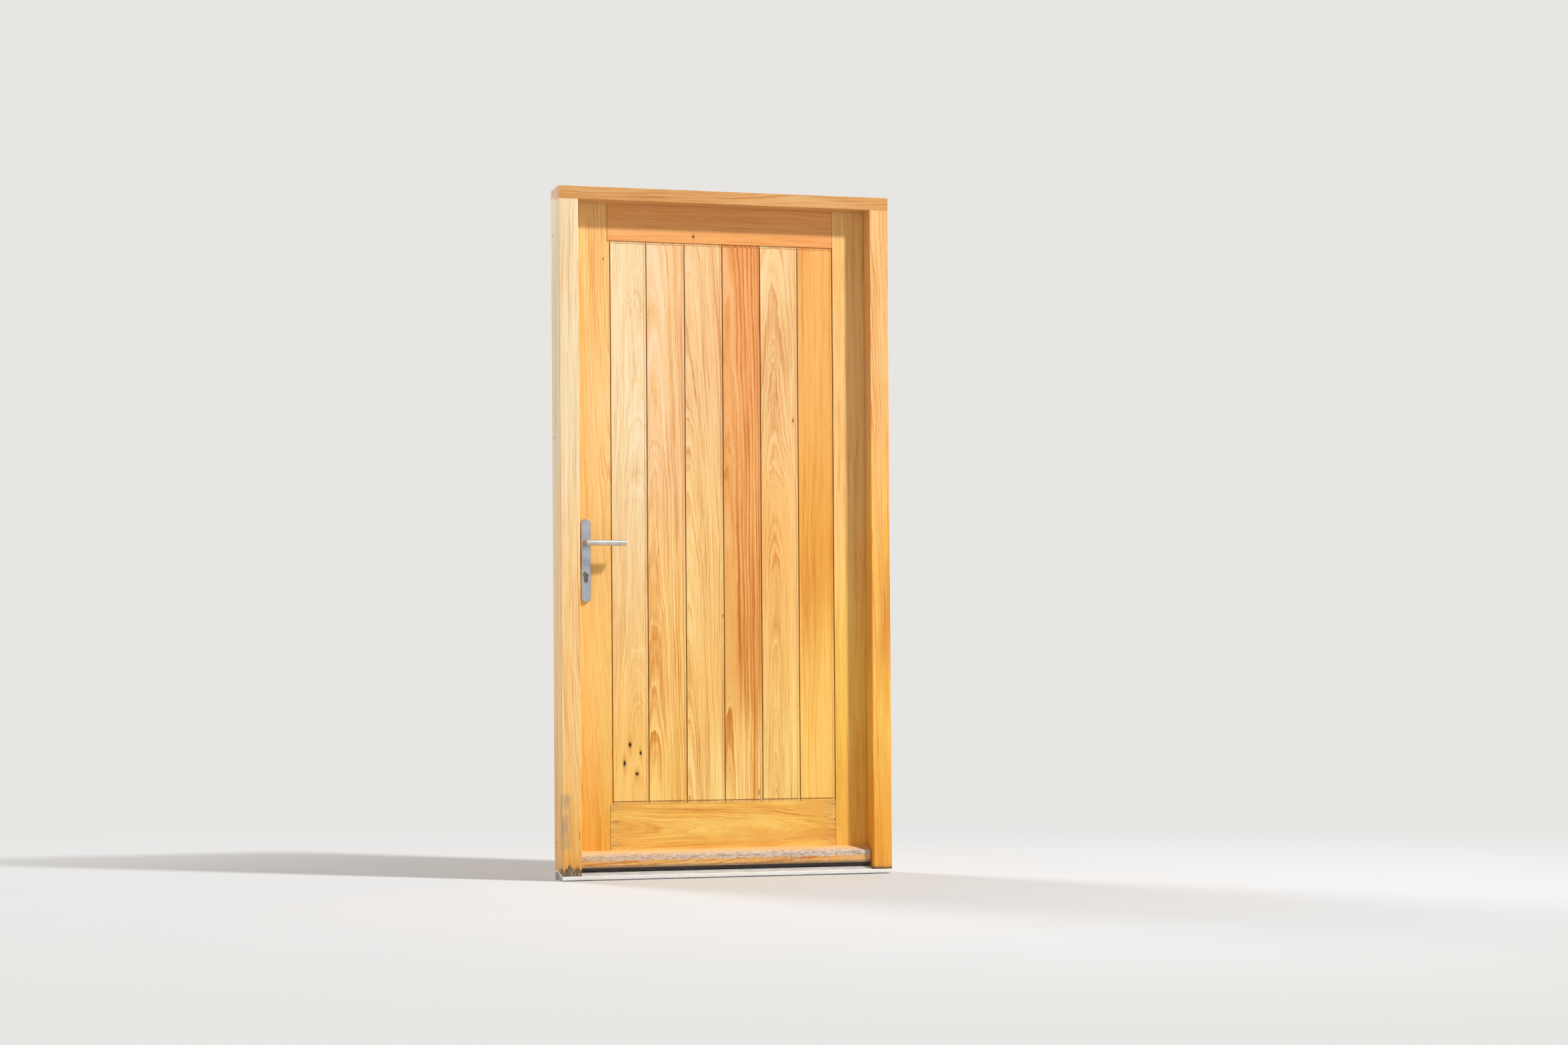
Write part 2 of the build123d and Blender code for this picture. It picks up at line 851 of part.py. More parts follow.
def face_screws():
    short = screw(keep_screw_l, screw_shank_r, screw_head_r)
    screws = [seated(short, (lock_edge, mid, z), (-1, 0, 0)) for z in face_screw_zs()]
    return screws + [cylinder_screw()]


def leaf_screws():
    flaps = [one for z in hinge_places.values() for one in flap_screws(z, True)]
    return face_screws() + flaps


def bar_slot(zs, grow):
    xs = (face_in - over, face_in + turn_gap + bar_t + grow)
    return block(xs, around(mid, bar_w / 2 + grow), zs)


def lock_case():
    zs = (case_z0, case_z1)
    body = block((face_in, face_in + case_d), around(mid, half_case), zs)
    inside = (face_in - over, face_in + case_d - case_wall)
    body -= block(inside, around(mid, cavity), (case_z0 + case_wall, case_z1 - case_wall))
    body -= bar_slot((case_z0 - over, case_z1 + over), turn_gap)
    body -= rod_y(boss_r, lever_x, around(mid, case_t), lever_z)
    return body - along_y(euro_outline(turn_gap), around(mid, case_t))


def hook_case(name):
    z, way = hook_places[name]
    z0, z1 = z - way * hook_case_short, z + way * hook_case_deep
    body = block((face_in, face_in + hook_case_d), around(mid, half_case), (z0, z1))
    inside = (face_in - over, face_in + hook_case_d - case_wall)
    body -= block(inside, around(mid, cavity), (z0 + way * case_wall, z1 - way * case_wall))
    body -= bar_slot((z0 - way * over, z), turn_gap)
    return body + rod_y(hook_rivet_r, hook_x, around(mid, half_case), z)


def hook(name):
    z, way = hook_places[name]
    ring = Circle(hook_r) - Circle(hook_r - hook_w)
    reach = 2 * hook_r
    spread = [hook_from, (hook_from + hook_to) / 2, hook_to]
    wedge = outline((0, 0), *[(-reach * cos(radians(a)), way * reach * sin(radians(a))) for a in spread])
    ends = hook_r - hook_w / 2
    arm = outline((0, 0), *[(-ends * cos(radians(a)), way * ends * sin(radians(a)))
                            for a in (hook_to - hook_arm, hook_to)])
    face = (ring & wedge) + arm
    body = along_y(Pos(hook_x, z) * face, around(mid, hook_t / 2))
    body += rod_y(hook_hub_r, hook_x, around(mid, cavity - turn_gap), z)
    return body - rod_y(hook_rivet_r + shaft_fit, hook_x, around(mid, case_t), z)


def latch_bolt():
    tip = lock_edge - latch_out
    zs = around(latch_z, latch_h / 2)
    body = block((tip, tip + latch_body_l), around(mid, latch_w / 2), zs)
    wedge = outline((tip - over, mid - latch_w / 2 - over), (tip - over, mid + latch_nose),
                    (tip, mid + latch_nose), (lock_edge - over, mid - latch_w / 2),
                    (lock_edge, mid - latch_w / 2 - over))
    body -= along_z(wedge, (zs[0] - over, zs[1] + over))
    lug_x = lever_x + finger_w / 2 + lug_gap
    ys = around(mid, latch_tail_t / 2)
    tail_top = latch_z + latch_h / 2 - latch_tail_drop
    body += block((tip + latch_body_l - over, lug_x + lug_w), ys, (tail_top - latch_tail_h, tail_top))
    return body + block((lug_x, lug_x + lug_w), ys, (lever_z + lug_up, tail_top))


def deadbolt():
    flush = lock_edge + bolt_sink
    body = block((flush, flush + bolt_l), around(mid, bolt_w / 2), around(bolt_z, bolt_h / 2))
    return chamfer(body.faces().sort_by(Axis.X)[0].edges(), bolt_edge)


def drive_bars():
    xs = (face_in + turn_gap, face_in + turn_gap + bar_t)
    ys = around(mid, bar_w / 2)
    spans = [
        (case_z1 - bar_entry, hook_places["upper"][0] - hook_case_short + bar_lap),
        (hook_places["lower"][0] + hook_case_short - bar_entry, case_z0 + bar_lap),
    ]
    return [block(xs, ys, zs) for zs in spans]


def lock_recess():
    body = along_x(face_outline(joint_fit), (lock_edge - over, face_in))
    between = [place[0] for place in hook_places.values()]
    body += bar_slot((min(between), max(between)), case_room)
    xs = (face_in - over, face_in + case_d + case_room)
    body += block(xs, around(mid, half_case + joint_fit), (case_z0 - case_room, case_z1 + case_room))
    for z, way in hook_places.values():
        xs = (face_in - over, face_in + hook_case_d + case_room)
        zs = (z - way * (hook_case_short + case_room), z + way * (hook_case_deep + case_room))
        body += block(xs, around(mid, half_case + joint_fit), zs)
    return body


def lock_stile():
    body = stile(-1) - lock_recess()
    through = (leaf_face - over, leaf_back + over)
    body -= rod_y(neck_r + stile_room, lever_x, through, lever_z)
    body -= along_y(euro_outline(stile_room), through)
    for z in plate_bolt_zs:
        body -= rod_y(bolt_shank_r + stile_room, lever_x, through, z)
    for z in face_screw_zs():
        body -= screw_holes((lock_edge, mid, z), (-1, 0, 0), keep_screw_l)
    return body


# Keeps in the lock jamb

def keep_zs(name):
    if name == "centre":
        return (bolt_z - bolt_h / 2 - keep_margin, latch_z + latch_h / 2 + keep_margin)
    z, way = hook_places[name]
    return sorted((z - way * (hook_drop + pocket_end_gap + keep_margin), z + way * (hook_r + keep_margin)))


def keep_openings(name, xs):
    if name != "centre":
        return hook_slot(name, xs)
    latch_ys = (mid - latch_w / 2 - pocket_gap, back + over)
    latch_slot = block(xs, latch_ys, around(latch_z, latch_h / 2 + pocket_gap))
    bolt_slot = block(xs, around(mid, bolt_w / 2 + pocket_gap), around(bolt_z, bolt_h / 2 + pocket_gap))
    return latch_slot + bolt_slot


def keep_screw_zs(name):
    z0, z1 = keep_zs(name)
    return (z0 + keep_screw_in, z1 - keep_screw_in)


def keep_plate(name, xs, grow=0.0):
    z0, z1 = keep_zs(name)
    return block(xs, around(mid, keep_w / 2 + grow), (z0 - grow, z1 + grow))


def keep(name):
    body = keep_plate(name, (-rebate_x, -rebate_x - keep_t))
    body -= keep_openings(name, (-rebate_x + over, -rebate_x - keep_t - over))
    for z in keep_screw_zs(name):
        body -= screw_holes((-rebate_x, mid, z), (1, 0, 0), keep_screw_l)
    return body


def keep_pockets():
    reach = lock_edge - latch_out - pocket_end_gap
    latch_ys = (mid - latch_w / 2 - pocket_gap, back + over)
    body = block((-rebate_x + over, reach), latch_ys, around(latch_z, latch_h / 2 + pocket_gap))
    reach = lock_edge - bolt_throw - pocket_end_gap
    body += block((-rebate_x + over, reach), around(mid, bolt_w / 2 + pocket_gap),
                  around(bolt_z, bolt_h / 2 + pocket_gap))
    for z, way in hook_places.values():
        zs = (z - way * (hook_drop + pocket_end_gap), z + way * hook_r)
        xs = (-rebate_x + over, hook_x - hook_r - pocket_end_gap)
        body += block(xs, around(mid, hook_t / 2 + pocket_gap), zs)
    return body


def lock_jamb():
    body = jamb(-1) - keep_pockets()
    for name in ("centre", "upper", "lower"):
        body -= keep_plate(name, (-rebate_x + over, -rebate_x - keep_t), joint_fit)
        for z in keep_screw_zs(name):
            body -= screw_holes((-rebate_x, mid, z), (1, 0, 0), keep_screw_l)
    return body


def keep_screws():
    short = screw(keep_screw_l, screw_shank_r, screw_head_r)
    return [seated(short, (-rebate_x, mid, z), (1, 0, 0))
            for name in ("centre", "upper", "lower") for z in keep_screw_zs(name)]


# Hinges

def knuckle_spans(z, of_leaf):
    step = hinge_h / knuckle_count
    first = z - hinge_h / 2
    picks = range(1 if of_leaf else 0, knuckle_count, 2)
    return [(first + step * k + knuckle_gap / 2, first + step * (k + 1) - knuckle_gap / 2) for k in picks]


def flap_xs(of_leaf):
    return (leaf_x - flap_t, leaf_x) if of_leaf else (rebate_x, rebate_x + flap_t)


def flap(z, of_leaf):
    xs = flap_xs(of_leaf)
    body = block(xs, (leaf_back - flap_w, leaf_back + flap_proud), around(z, hinge_h / 2))
    for zs in knuckle_spans(z, of_leaf):
        body += block(xs, (leaf_back, pin_y), zs)
        body += rod_z(knuckle_r, pin_x, pin_y, zs)
    body -= rod_z(pin_r + pin_fit, pin_x, pin_y, around(z, hinge_h))
    for hole in flap_screws(z, of_leaf, screw_fit):
        body -= hole
    return body


def flap_screws(z, of_leaf, grow=0.0):
    faces = (1, 0, 0) if of_leaf else (-1, 0, 0)
    x = leaf_x if of_leaf else rebate_x
    one = screw(hinge_screw_l, screw_shank_r, screw_head_r, grow)
    pairs = list(zip(hinge_screw_ups, hinge_screw_insets))
    spots = [(way * up, inset) for way in (-1, 1) for up, inset in pairs]
    return [seated(one, (x, leaf_back - inset, z + up), faces) for up, inset in spots]


def flap_recess(z, of_leaf):
    near, far = flap_xs(of_leaf)
    xs = (near, far + over) if of_leaf else (near - over, far)
    ys = (leaf_back - flap_w - joint_fit, leaf_back + over)
    body = block(xs, ys, around(z, hinge_h / 2 + joint_fit))
    for hole in flap_screws(z, of_leaf, screw_fit):
        body += hole
    return body


def hinge_pin(z):
    half = hinge_h / 2
    body = rod_z(pin_r, pin_x, pin_y, around(z, half))
    for way in (-1, 1):
        cap = rod_z(pin_cap_r, pin_x, pin_y, (z + way * half, z + way * (half + pin_cap_h)))
        body += cap
    return body


def hinge_stile():
    body = stile(1)
    for z in hinge_places.values():
        body -= flap_recess(z, True)
    return body


def hinge_jamb():
    body = jamb(1)
    for z in hinge_places.values():
        body -= flap_recess(z, False)
    return body


def build():
    nodes = {
        "head": head(),
        "lock_jamb": lock_jamb(),
        "hinge_jamb": hinge_jamb(),
        "threshold": threshold(),
        "frame_seals": group(frame_seals()),
        "frame_screws": group(frame_screws()),
        "lock_stile": lock_stile(),
        "hinge_stile": hinge_stile(),
        "top_rail": rail("top"),
        "bottom_rail": rail("bottom") - carrier_groove() - weather_tongue_block(joint_fit),
        "insulation_core": core(),
        "weatherboard": weatherboard(),
        "drip_seal": drip_seal(),
        "seal_carrier": seal_carrier(),
        "bottom_seal": bottom_seal(),
        "outer_backplate": outer_backplate(),
        "inner_backplate": inner_backplate(),
        "backplate_bolts": group(plate_bolts()),
        "outer_lever": lever(),
        "inner_lever": other_face(lever()),
        "lever_grub_screws": group([grub_screw(0), other_face(grub_screw(0))]),
        "spindle": spindle_bar(0),
        "follower": follower(),
        "return_spring": return_spring(),
        "cylinder_body": cylinder_body(),
        "key_plug": key_plug(),
        "cam_plug": cam_plug(),
        "thumb_turn": thumb_turn(),
        "lock_faceplate": lock_faceplate(),
        "leaf_screws": group(leaf_screws()),
        "lock_case": lock_case(),
        "latch_bolt": latch_bolt(),
        "deadbolt": deadbolt(),
        "drive_bars": group(drive_bars()),
        "hinge_pins": group(hinge_pin(z) for z in hinge_places.values()),
    }
    for k in range(board_count):
        nodes[f"outer_board_{k + 1}"] = board(k)
        nodes[f"inner_board_{k + 1}"] = inside_out(board(k))
    for name in hook_places:
        nodes[f"{name}_hook"] = hook(name)
        nodes[f"{name}_hook_case"] = hook_case(name)
    for name in ("centre", "upper", "lower"):
        nodes[f"{name}_keep"] = keep(name)
    for name, z in hinge_places.items():
        nodes[f"{name}_leaf_flap"] = flap(z, True)
        nodes[f"{name}_jamb_flap"] = flap(z, False)
    return nodes


os.makedirs("parts", exist_ok=True)
for node, shape in build().items():
    export_step(shape, f"parts/{node}.step")
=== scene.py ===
from math import cos, radians, sin

import bpy
from mathutils import Matrix, Vector


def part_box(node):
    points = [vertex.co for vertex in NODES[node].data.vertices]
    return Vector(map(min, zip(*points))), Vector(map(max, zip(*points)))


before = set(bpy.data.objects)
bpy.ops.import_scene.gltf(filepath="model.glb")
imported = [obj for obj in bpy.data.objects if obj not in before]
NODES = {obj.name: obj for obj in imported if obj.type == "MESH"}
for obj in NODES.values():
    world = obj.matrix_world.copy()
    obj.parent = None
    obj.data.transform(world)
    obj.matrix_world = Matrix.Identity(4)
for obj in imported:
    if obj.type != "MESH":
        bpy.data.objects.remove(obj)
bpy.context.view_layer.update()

bl_info = {
    "name": "Boarded Front Door",
    "version": (1, 0, 0),
    "blender": (4, 5, 0),
    "location": "3D View > Sidebar > Front Door",
    "description": "Finishes for a boarded oak front door and its frame, with a pale studio round it",
    "category": "Object",
}

PHOTO_WIDTH = 2352
BOARD_COUNT = 6

# Places on the door, in metres: X across it, Y inwards, Z up. A joint is the lower floor beside a
# board's raised face together with the open gap; the arris is the weatherboard's top front edge.
FIRST_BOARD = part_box("outer_board_1")
LEAF_FACE = FIRST_BOARD[0].y
FIELD_LOW = FIRST_BOARD[0].z
FIELD_HIGH = FIRST_BOARD[1].z
JOINT_WIDTH = 0.010
JOINT_FLOOR = LEAF_FACE + 0.003
GAP_MOUTH = LEAF_FACE + 0.0048
GAP_BOTTOM = LEAF_FACE + 0.011
FIELD_SIDE = JOINT_WIDTH - FIRST_BOARD[0].x
RAIL_FACE_END = LEAF_FACE + 0.004
OUTER_WOOD_END = LEAF_FACE + 0.010
ARRIS_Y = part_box("weatherboard")[0].y
ARRIS_Z = 0.0715

# Where the painted shadow lines lie on a joint's floor: in from a board's end and beside its raised edge
END_LINE = 0.0072
SIDE_LINE = 0.0006

# Grain sizes, as repeats in a metre across the board, into it and along the grain.
# BROAD_STREAK and THREAD follow the rings, so their first number counts outwards from the pith.
SLOW_DRIFT = (6.0, 6.0, 1.6)
RIPPLE = (40.0, 40.0, 9.0)
RAGGED_EDGE = (300.0, 300.0, 30.0)
BROAD_STREAK = (70.0, 1.0, 1.0)
THREAD = (520.0, 1.0, 3.0)
FIBRE = (420.0, 420.0, 7.0)
SLOW_TONE = (9.0, 9.0, 2.0)
PORE = (1500.0, 1500.0, 130.0)
PORE_CROWD = (60.0, 60.0, 4.0)

# How far apart the seeds of neighbouring boards are, so that no two have the same figure
SEED_STEP = 2.3

# Directions of the fine lines on the metal, as repeats in a metre along each axis
BRUSHED_UPRIGHT = (900.0, 900.0, 14.0)
BRUSHED_LEVEL = (14.0, 900.0, 900.0)
ROLLED = (300.0, 300.0, 20.0)
POLISHED = (200.0, 200.0, 200.0)

# What the wood's own tone is multiplied by in the palest and the deepest grain
PALEST_GRAIN = (1.05, 1.28, 1.80, 1.0)
DEEPEST_GRAIN = (0.70, 0.42, 0.20, 1.0)

# Colours of knots, splits and weather on the oak, and of the painted shade in its joints
KNOT_HALO = (0.62, 0.28, 0.06, 1.0)
KNOT_RING = (0.22, 0.08, 0.02, 1.0)
KNOT_HEART = (0.022, 0.009, 0.004, 1.0)
SPLIT_DARK = (0.045, 0.02, 0.008, 1.0)
# Painted shade deep in the open joints
GAP_SHADE_BROWN = (0.45, 0.13, 0.015, 1.0)
# Painted shadow lines and grain ticks on the joints' floors
FLOOR_SHADOW_AND_TICKS = (0.28, 0.085, 0.022, 1.0)
ROT_DARK = (0.13, 0.085, 0.05, 1.0)
ROT_PALE = (0.46, 0.36, 0.25, 1.0)
ROT_RIM = (0.07, 0.035, 0.015, 1.0)
DAMP_ORANGE = (0.60, 0.27, 0.06, 1.0)
WORN_DARK = (0.30, 0.19, 0.10, 1.0)
WORN_PALE = (0.60, 0.44, 0.28, 1.0)
END_GREY = (0.42, 0.31, 0.19, 1.0)
CHECK_DARK = (0.10, 0.045, 0.015, 1.0)
ZONE_ORANGE = (0.78, 0.33, 0.05, 1.0)
BLEACHED_TOP = (0.90, 0.60, 0.34, 1.0)
WEATHER_DARK = (0.32, 0.25, 0.19, 1.0)
WEATHER_PALE = (0.90, 0.86, 0.82, 1.0)
PIT_BROWN = (0.14, 0.075, 0.03, 1.0)
FOOT_GREY = (0.16, 0.12, 0.09, 1.0)

# Colours of wear, dust and painted reflection on the metal, and of the rubber and the foam
SCRATCH_PALE = (0.85, 0.85, 0.86, 1.0)
# Dark brown painted reflection on the polished cylinder
REFLECTED_BROWN = (0.055, 0.03, 0.02, 1.0)
DUST_BEIGE = (0.52, 0.48, 0.43, 1.0)
SPECK_BROWN = (0.10, 0.08, 0.06, 1.0)
RUBBER_BLACK = (0.012, 0.012, 0.013, 1.0)
RUBBER_DUSTY = (0.05, 0.045, 0.04, 1.0)
FOAM_DARK = (0.62, 0.55, 0.36, 1.0)
FOAM_PALE = (0.78, 0.72, 0.54, 1.0)

# Studio, in metres
LAMP_AIM = (0.0, 0.0, 1.0)
KEY_PLACE = (6.26, -6.05, 9.26)
KEY_SIZE = 0.9
KEY_COLOUR = (1.0, 0.975, 0.94)
BACK_PLACE = (-6.5, 12.0, 8.0)
BACK_SIZE = 5.0
BACK_SHARE = 0.9
BACK_COLOUR = (1.0, 0.98, 0.95)
FILL_COLOUR = (1.0, 0.86, 0.72, 1.0)
FLOOR_REACH = 60.0

# The floor goes over into the background between these distances from the middle
FLOOR_FADE = (1.2, 4.5)

# Two shades of the floor as shares of the background's colour, and the cool tint they get
FLOOR_SHARES = (0.86, 0.84)
FLOOR_TINT = (0.955, 1.01, 1.10)


# Node helpers

def node(tree, kind, settings, inputs):
    """Adds one node; an input is a socket to link or a value to set."""
    made = tree.nodes.new(kind)
    for name, value in settings.items():
        setattr(made, name, value)
    for name, value in inputs.items():
        if isinstance(value, bpy.types.NodeSocket):
            tree.links.new(value, made.inputs[name])
        else:
            made.inputs[name].default_value = value
    return made


def link(tree, source, target):
    tree.links.new(source, target)


def maths(tree, operation, a, b=0.0, clamp=False):
    """One step of arithmetic; a and b are sockets or numbers."""
    made = node(tree, "ShaderNodeMath", {"operation": operation, "use_clamp": clamp}, {0: a, 1: b})
    return made.outputs[0]


def times(tree, first, *others):
    """All the values multiplied, from the left."""
    for value in others:
        first = maths(tree, "MULTIPLY", first, value)
    return first


def plus(tree, first, *others):
    """All the values added, from the left."""
    for value in others:
        first = maths(tree, "ADD", first, value)
    return first


def minus(tree, a, b):
    return maths(tree, "SUBTRACT", a, b)


def larger(tree, a, b):
    return maths(tree, "MAXIMUM", a, b)


def distance_from(tree, value, middle):
    return maths(tree, "ABSOLUTE", minus(tree, value, middle))


def centred(tree, value):
    return minus(tree, value, 0.5)


def ramped(tree, value, start, stop, low=0.0, high=1.0, smooth=True):
    """Goes from low to high while value goes from start to stop."""
    kind = "SMOOTHSTEP" if smooth else "LINEAR"
    inputs = {"Value": value, "From Min": start, "From Max": stop, "To Min": low, "To Max": high}
    return node(tree, "ShaderNodeMapRange", {"interpolation_type": kind}, inputs).outputs["Result"]


def window(tree, value, low, high, soft):
    """One between low and high, fading to nothing within soft beyond them."""
    return times(tree, ramped(tree, value, low - soft, low), ramped(tree, value, high + soft, high))


def mixed(tree, factor, a, b, blend="MIX"):
    settings = {"data_type": "RGBA", "blend_type": blend}
    return node(tree, "ShaderNodeMix", settings, {0: factor, 6: a, 7: b}).outputs[2]


def vector_maths(tree, operation, *values):
    inputs = dict(enumerate(values))
    return node(tree, "ShaderNodeVectorMath", {"operation": operation}, inputs).outputs


def split_axes(tree, place):
    return node(tree, "ShaderNodeSeparateXYZ", {}, {0: place}).outputs


def noise(tree, vector, scale, detail=2.0, roughness=0.5, offset=(0.0, 0.0, 0.0)):
    """Noise that repeats about scale times in a metre along each axis."""
    moved = vector_maths(tree, "MULTIPLY_ADD", vector, scale, offset)[0]
    made = node(tree, "ShaderNodeTexNoise", {"noise_dimensions": "3D"},
                {"Vector": moved, "Scale": 1.0, "Detail": detail, "Roughness": roughness})
    return made.outputs["Fac"]


def new_material(name):
    """A material whose patterns follow the solid itself, in metres from the door's own origin."""
    material = bpy.data.materials.new(name)
    material.use_nodes = True
    tree = material.node_tree
    tree.nodes.clear()
    shader = node(tree, "ShaderNodeBsdfPrincipled", {}, {})
    node(tree, "ShaderNodeOutputMaterial", {}, {"Surface": shader.outputs[0]})
    place = node(tree, "ShaderNodeTexCoord", {}, {}).outputs["Object"]
    return material, tree, shader, place


def bumped(tree, shader, height, depth):
    """Relief of the surface; a height of one stands depth metres above nothing."""
    made = node(tree, "ShaderNodeBump", {}, {"Height": height, "Distance": depth, "Strength": 1.0})
    link(tree, made.outputs["Normal"], shader.inputs["Normal"])


def paint(material, *names):
    """Gives the named pieces this material alone."""
    for name in names:
        slots = NODES[name].data.materials
        slots.clear()
        slots.append(material)


# Oak

GRAIN_INPUTS = (
    ("Grain", "NodeSocketVector"), ("Seed", "NodeSocketFloat"), ("Ring", "NodeSocketFloat"),
    ("Pith across", "NodeSocketFloat"), ("Pith depth", "NodeSocketFloat"), ("Lean", "NodeSocketFloat"),
    ("Waviness", "NodeSocketFloat"), ("Boldness", "NodeSocketFloat"), ("Streaks", "NodeSocketFloat"),
    ("Threads", "NodeSocketFloat"), ("Tone", "NodeSocketColor"), ("Pore colour", "NodeSocketColor"),
    ("Pores", "NodeSocketFloat"),
)
GRAIN_OUTPUTS = (("Colour", "NodeSocketColor"), ("Rough", "NodeSocketFloat"), ("Height", "NodeSocketFloat"))


def grain_frame(tree, place, along, origin):
    """Turns the door's axes so that X is across the board, Y its depth and Z the way of the grain."""
    parts = split_axes(tree, vector_maths(tree, "SUBTRACT", place, origin)[0])
    order = {"Z": ("X", "Y", "Z"), "X": ("Z", "Y", "X")}[along]
    inputs = {k: parts[axis] for k, axis in enumerate(order)}
    return node(tree, "ShaderNodeCombineXYZ", {}, inputs).outputs[0]


def ring_radius(tree, given, grain):
    """Distance from a leaning pith line, shaken so that the rings wander, ripple and bunch."""
    drift = times(tree, centred(tree, noise(tree, grain, SLOW_DRIFT)), given["Waviness"])
    ripple = times(tree, centred(tree, noise(tree, grain, RIPPLE)), 0.006)
    ragged = times(tree, centred(tree, noise(tree, grain, RAGGED_EDGE)), 0.0016)
    parts = split_axes(tree, given["Grain"])
    across = minus(tree, parts["X"], given["Pith across"])
    deep = plus(tree, parts["Y"], given["Pith depth"], times(tree, parts["Z"], given["Lean"]))
    squares = plus(tree, times(tree, across, across), times(tree, deep, deep))
    radius = plus(tree, maths(tree, "SQRT", squares), drift, ripple, ragged)
    bunch = node(tree, "ShaderNodeTexNoise", {"noise_dimensions": "1D"},
                 {"W": radius, "Scale": 60.0, "Detail": 2.0}).outputs["Fac"]
    return plus(tree, radius, times(tree, centred(tree, bunch), 0.012)), parts["Z"]


def ring_bands(tree, radius, ring):
    """Each year's wood darkens slowly to its edge and drops back quickly; some years are stronger."""
    turn = maths(tree, "DIVIDE", radius, ring)
    phase = maths(tree, "FRACT", turn)
    year = maths(tree, "FLOOR", turn)
    strong = node(tree, "ShaderNodeTexWhiteNoise", {"noise_dimensions": "1D"}, {"W": year}).outputs["Value"]
    band = times(tree, ramped(tree, phase, 0.0, 0.85), ramped(tree, phase, 1.0, 0.90))
    band = minus(tree, band, ramped(tree, phase, 0.90, 1.0, 0.0, 0.7))
    return times(tree, band, ramped(tree, strong, 0.0, 1.0, 0.25, 1.0, False))


def grain_group():
    """Sawn oak as a solid: rings round a leaning pith line, fibres, pores and slow changes of tone."""
    if "Oak grain" in bpy.data.node_groups:
        return bpy.data.node_groups["Oak grain"]
    tree = bpy.data.node_groups.new("Oak grain", "ShaderNodeTree")
    for name, kind in GRAIN_INPUTS:
        tree.interface.new_socket(name, in_out="INPUT", socket_type=kind)
    for name, kind in GRAIN_OUTPUTS:
        tree.interface.new_socket(name, in_out="OUTPUT", socket_type=kind)
    given = node(tree, "NodeGroupInput", {}, {}).outputs
    seed = given["Seed"]
    seeded = node(tree, "ShaderNodeCombineXYZ", {}, {0: seed, 1: 0.37, 2: seed}).outputs[0]
    grain = vector_maths(tree, "ADD", given["Grain"], seeded)[0]
    radius, height_up = ring_radius(tree, given, grain)
    band = ring_bands(tree, radius, given["Ring"])

    ringed = node(tree, "ShaderNodeCombineXYZ", {}, {0: radius, 1: seed, 2: height_up}).outputs[0]
    broad = noise(tree, ringed, BROAD_STREAK, 3.0, 0.6)
    thread = noise(tree, ringed, THREAD, 3.0, 0.6)
    fibre = noise(tree, grain, FIBRE, 4.0, 0.65)
    tone = noise(tree, grain, SLOW_TONE, 3.0)
    pore = ramped(tree, noise(tree, grain, PORE, 1.0), 0.60, 0.72)
    crowd = ramped(tree, noise(tree, grain, PORE_CROWD), 0.40, 0.65, 0.25, 1.0)
    pores = times(tree, pore, crowd, given["Pores"])
    dark = times(tree, band, given["Boldness"])
    for value, share in ((broad, given["Streaks"]), (thread, given["Threads"]), (fibre, 1.0), (tone, 0.7)):
        dark = plus(tree, dark, times(tree, centred(tree, value), share))
    dark = maths(tree, "ADD", dark, 0.45, clamp=True)

    pale = mixed(tree, 1.0, given["Tone"], PALEST_GRAIN, "MULTIPLY")
    deepest = mixed(tree, 1.0, given["Tone"], DEEPEST_GRAIN, "MULTIPLY")
    colour = mixed(tree, ramped(tree, dark, 0.0, 0.5, smooth=False), pale, given["Tone"])
    colour = mixed(tree, ramped(tree, dark, 0.5, 1.0, smooth=False), colour, deepest)
    colour = mixed(tree, times(tree, pores, 0.5), colour, given["Pore colour"])
    rough = plus(tree, ramped(tree, pores, 0.0, 1.0, 0.46, 0.62, False),
                 ramped(tree, fibre, 0.3, 0.7, -0.04, 0.05, False))
    height = minus(tree, ramped(tree, fibre, 0.3, 0.7, 0.0, 0.5, False), times(tree, pores, 0.5))
    node(tree, "NodeGroupOutput", {}, {"Colour": colour, "Rough": rough, "Height": height})
    return tree


def oak_material(name, along, origin, look):
    """Oak with the figure, tones and marks of one look; origin is the middle of the piece."""
    material, tree, shader, place = new_material(name)
    rise = split_axes(tree, place)["Z"]
    boldness = look["boldness"]
    for low, high, more in look["bold_zones"]:
        boldness = plus(tree, boldness, times(tree, window(tree, rise, low, high, 0.15), more))
    tone = (*look["tones"][0][1], 1.0)
    for (low, _), (high, colour) in zip(look["tones"], look["tones"][1:]):
        tone = mixed(tree, ramped(tree, rise, low, high), tone, (*colour, 1.0))
    made = node(tree, "ShaderNodeGroup", {"node_tree": grain_group()}, {
        "Grain": grain_frame(tree, place, along, origin), "Seed": look["seed"], "Ring": look["ring"],
        "Pith across": look["pith_across"], "Pith depth": look["pith_depth"], "Lean": look["lean"],
        "Waviness": look["waviness"], "Boldness": boldness, "Streaks": look["streaks"],
        "Threads": look["threads"], "Tone": tone, "Pore colour": (*look["pore_colour"], 1.0),
        "Pores": look["pores"]}).outputs
    colour, rough, height = made["Colour"], made["Rough"], made["Height"]
    for extra in look["extras"]:
        colour, rough, height = extra(tree, place, colour, rough, height)
    link(tree, colour, shader.inputs["Base Color"])
    link(tree, rough, shader.inputs["Roughness"])
    bumped(tree, shader, height, 0.00025)
    shader.inputs["Specular IOR Level"].default_value = 0.35
    return material


# Knots, splits, weather and painted shade. Each step takes the wood's colour, roughness and height and gives
# them back changed; knot, crack, step_shadow_lines, rotten_foot and grey_patch make such a step.

def outer_face(tree, place, behind):
    """One on the weather side of the wood, nothing from behind (metres) inwards."""
    return ramped(tree, split_axes(tree, place)["Y"], behind, behind - 0.003)


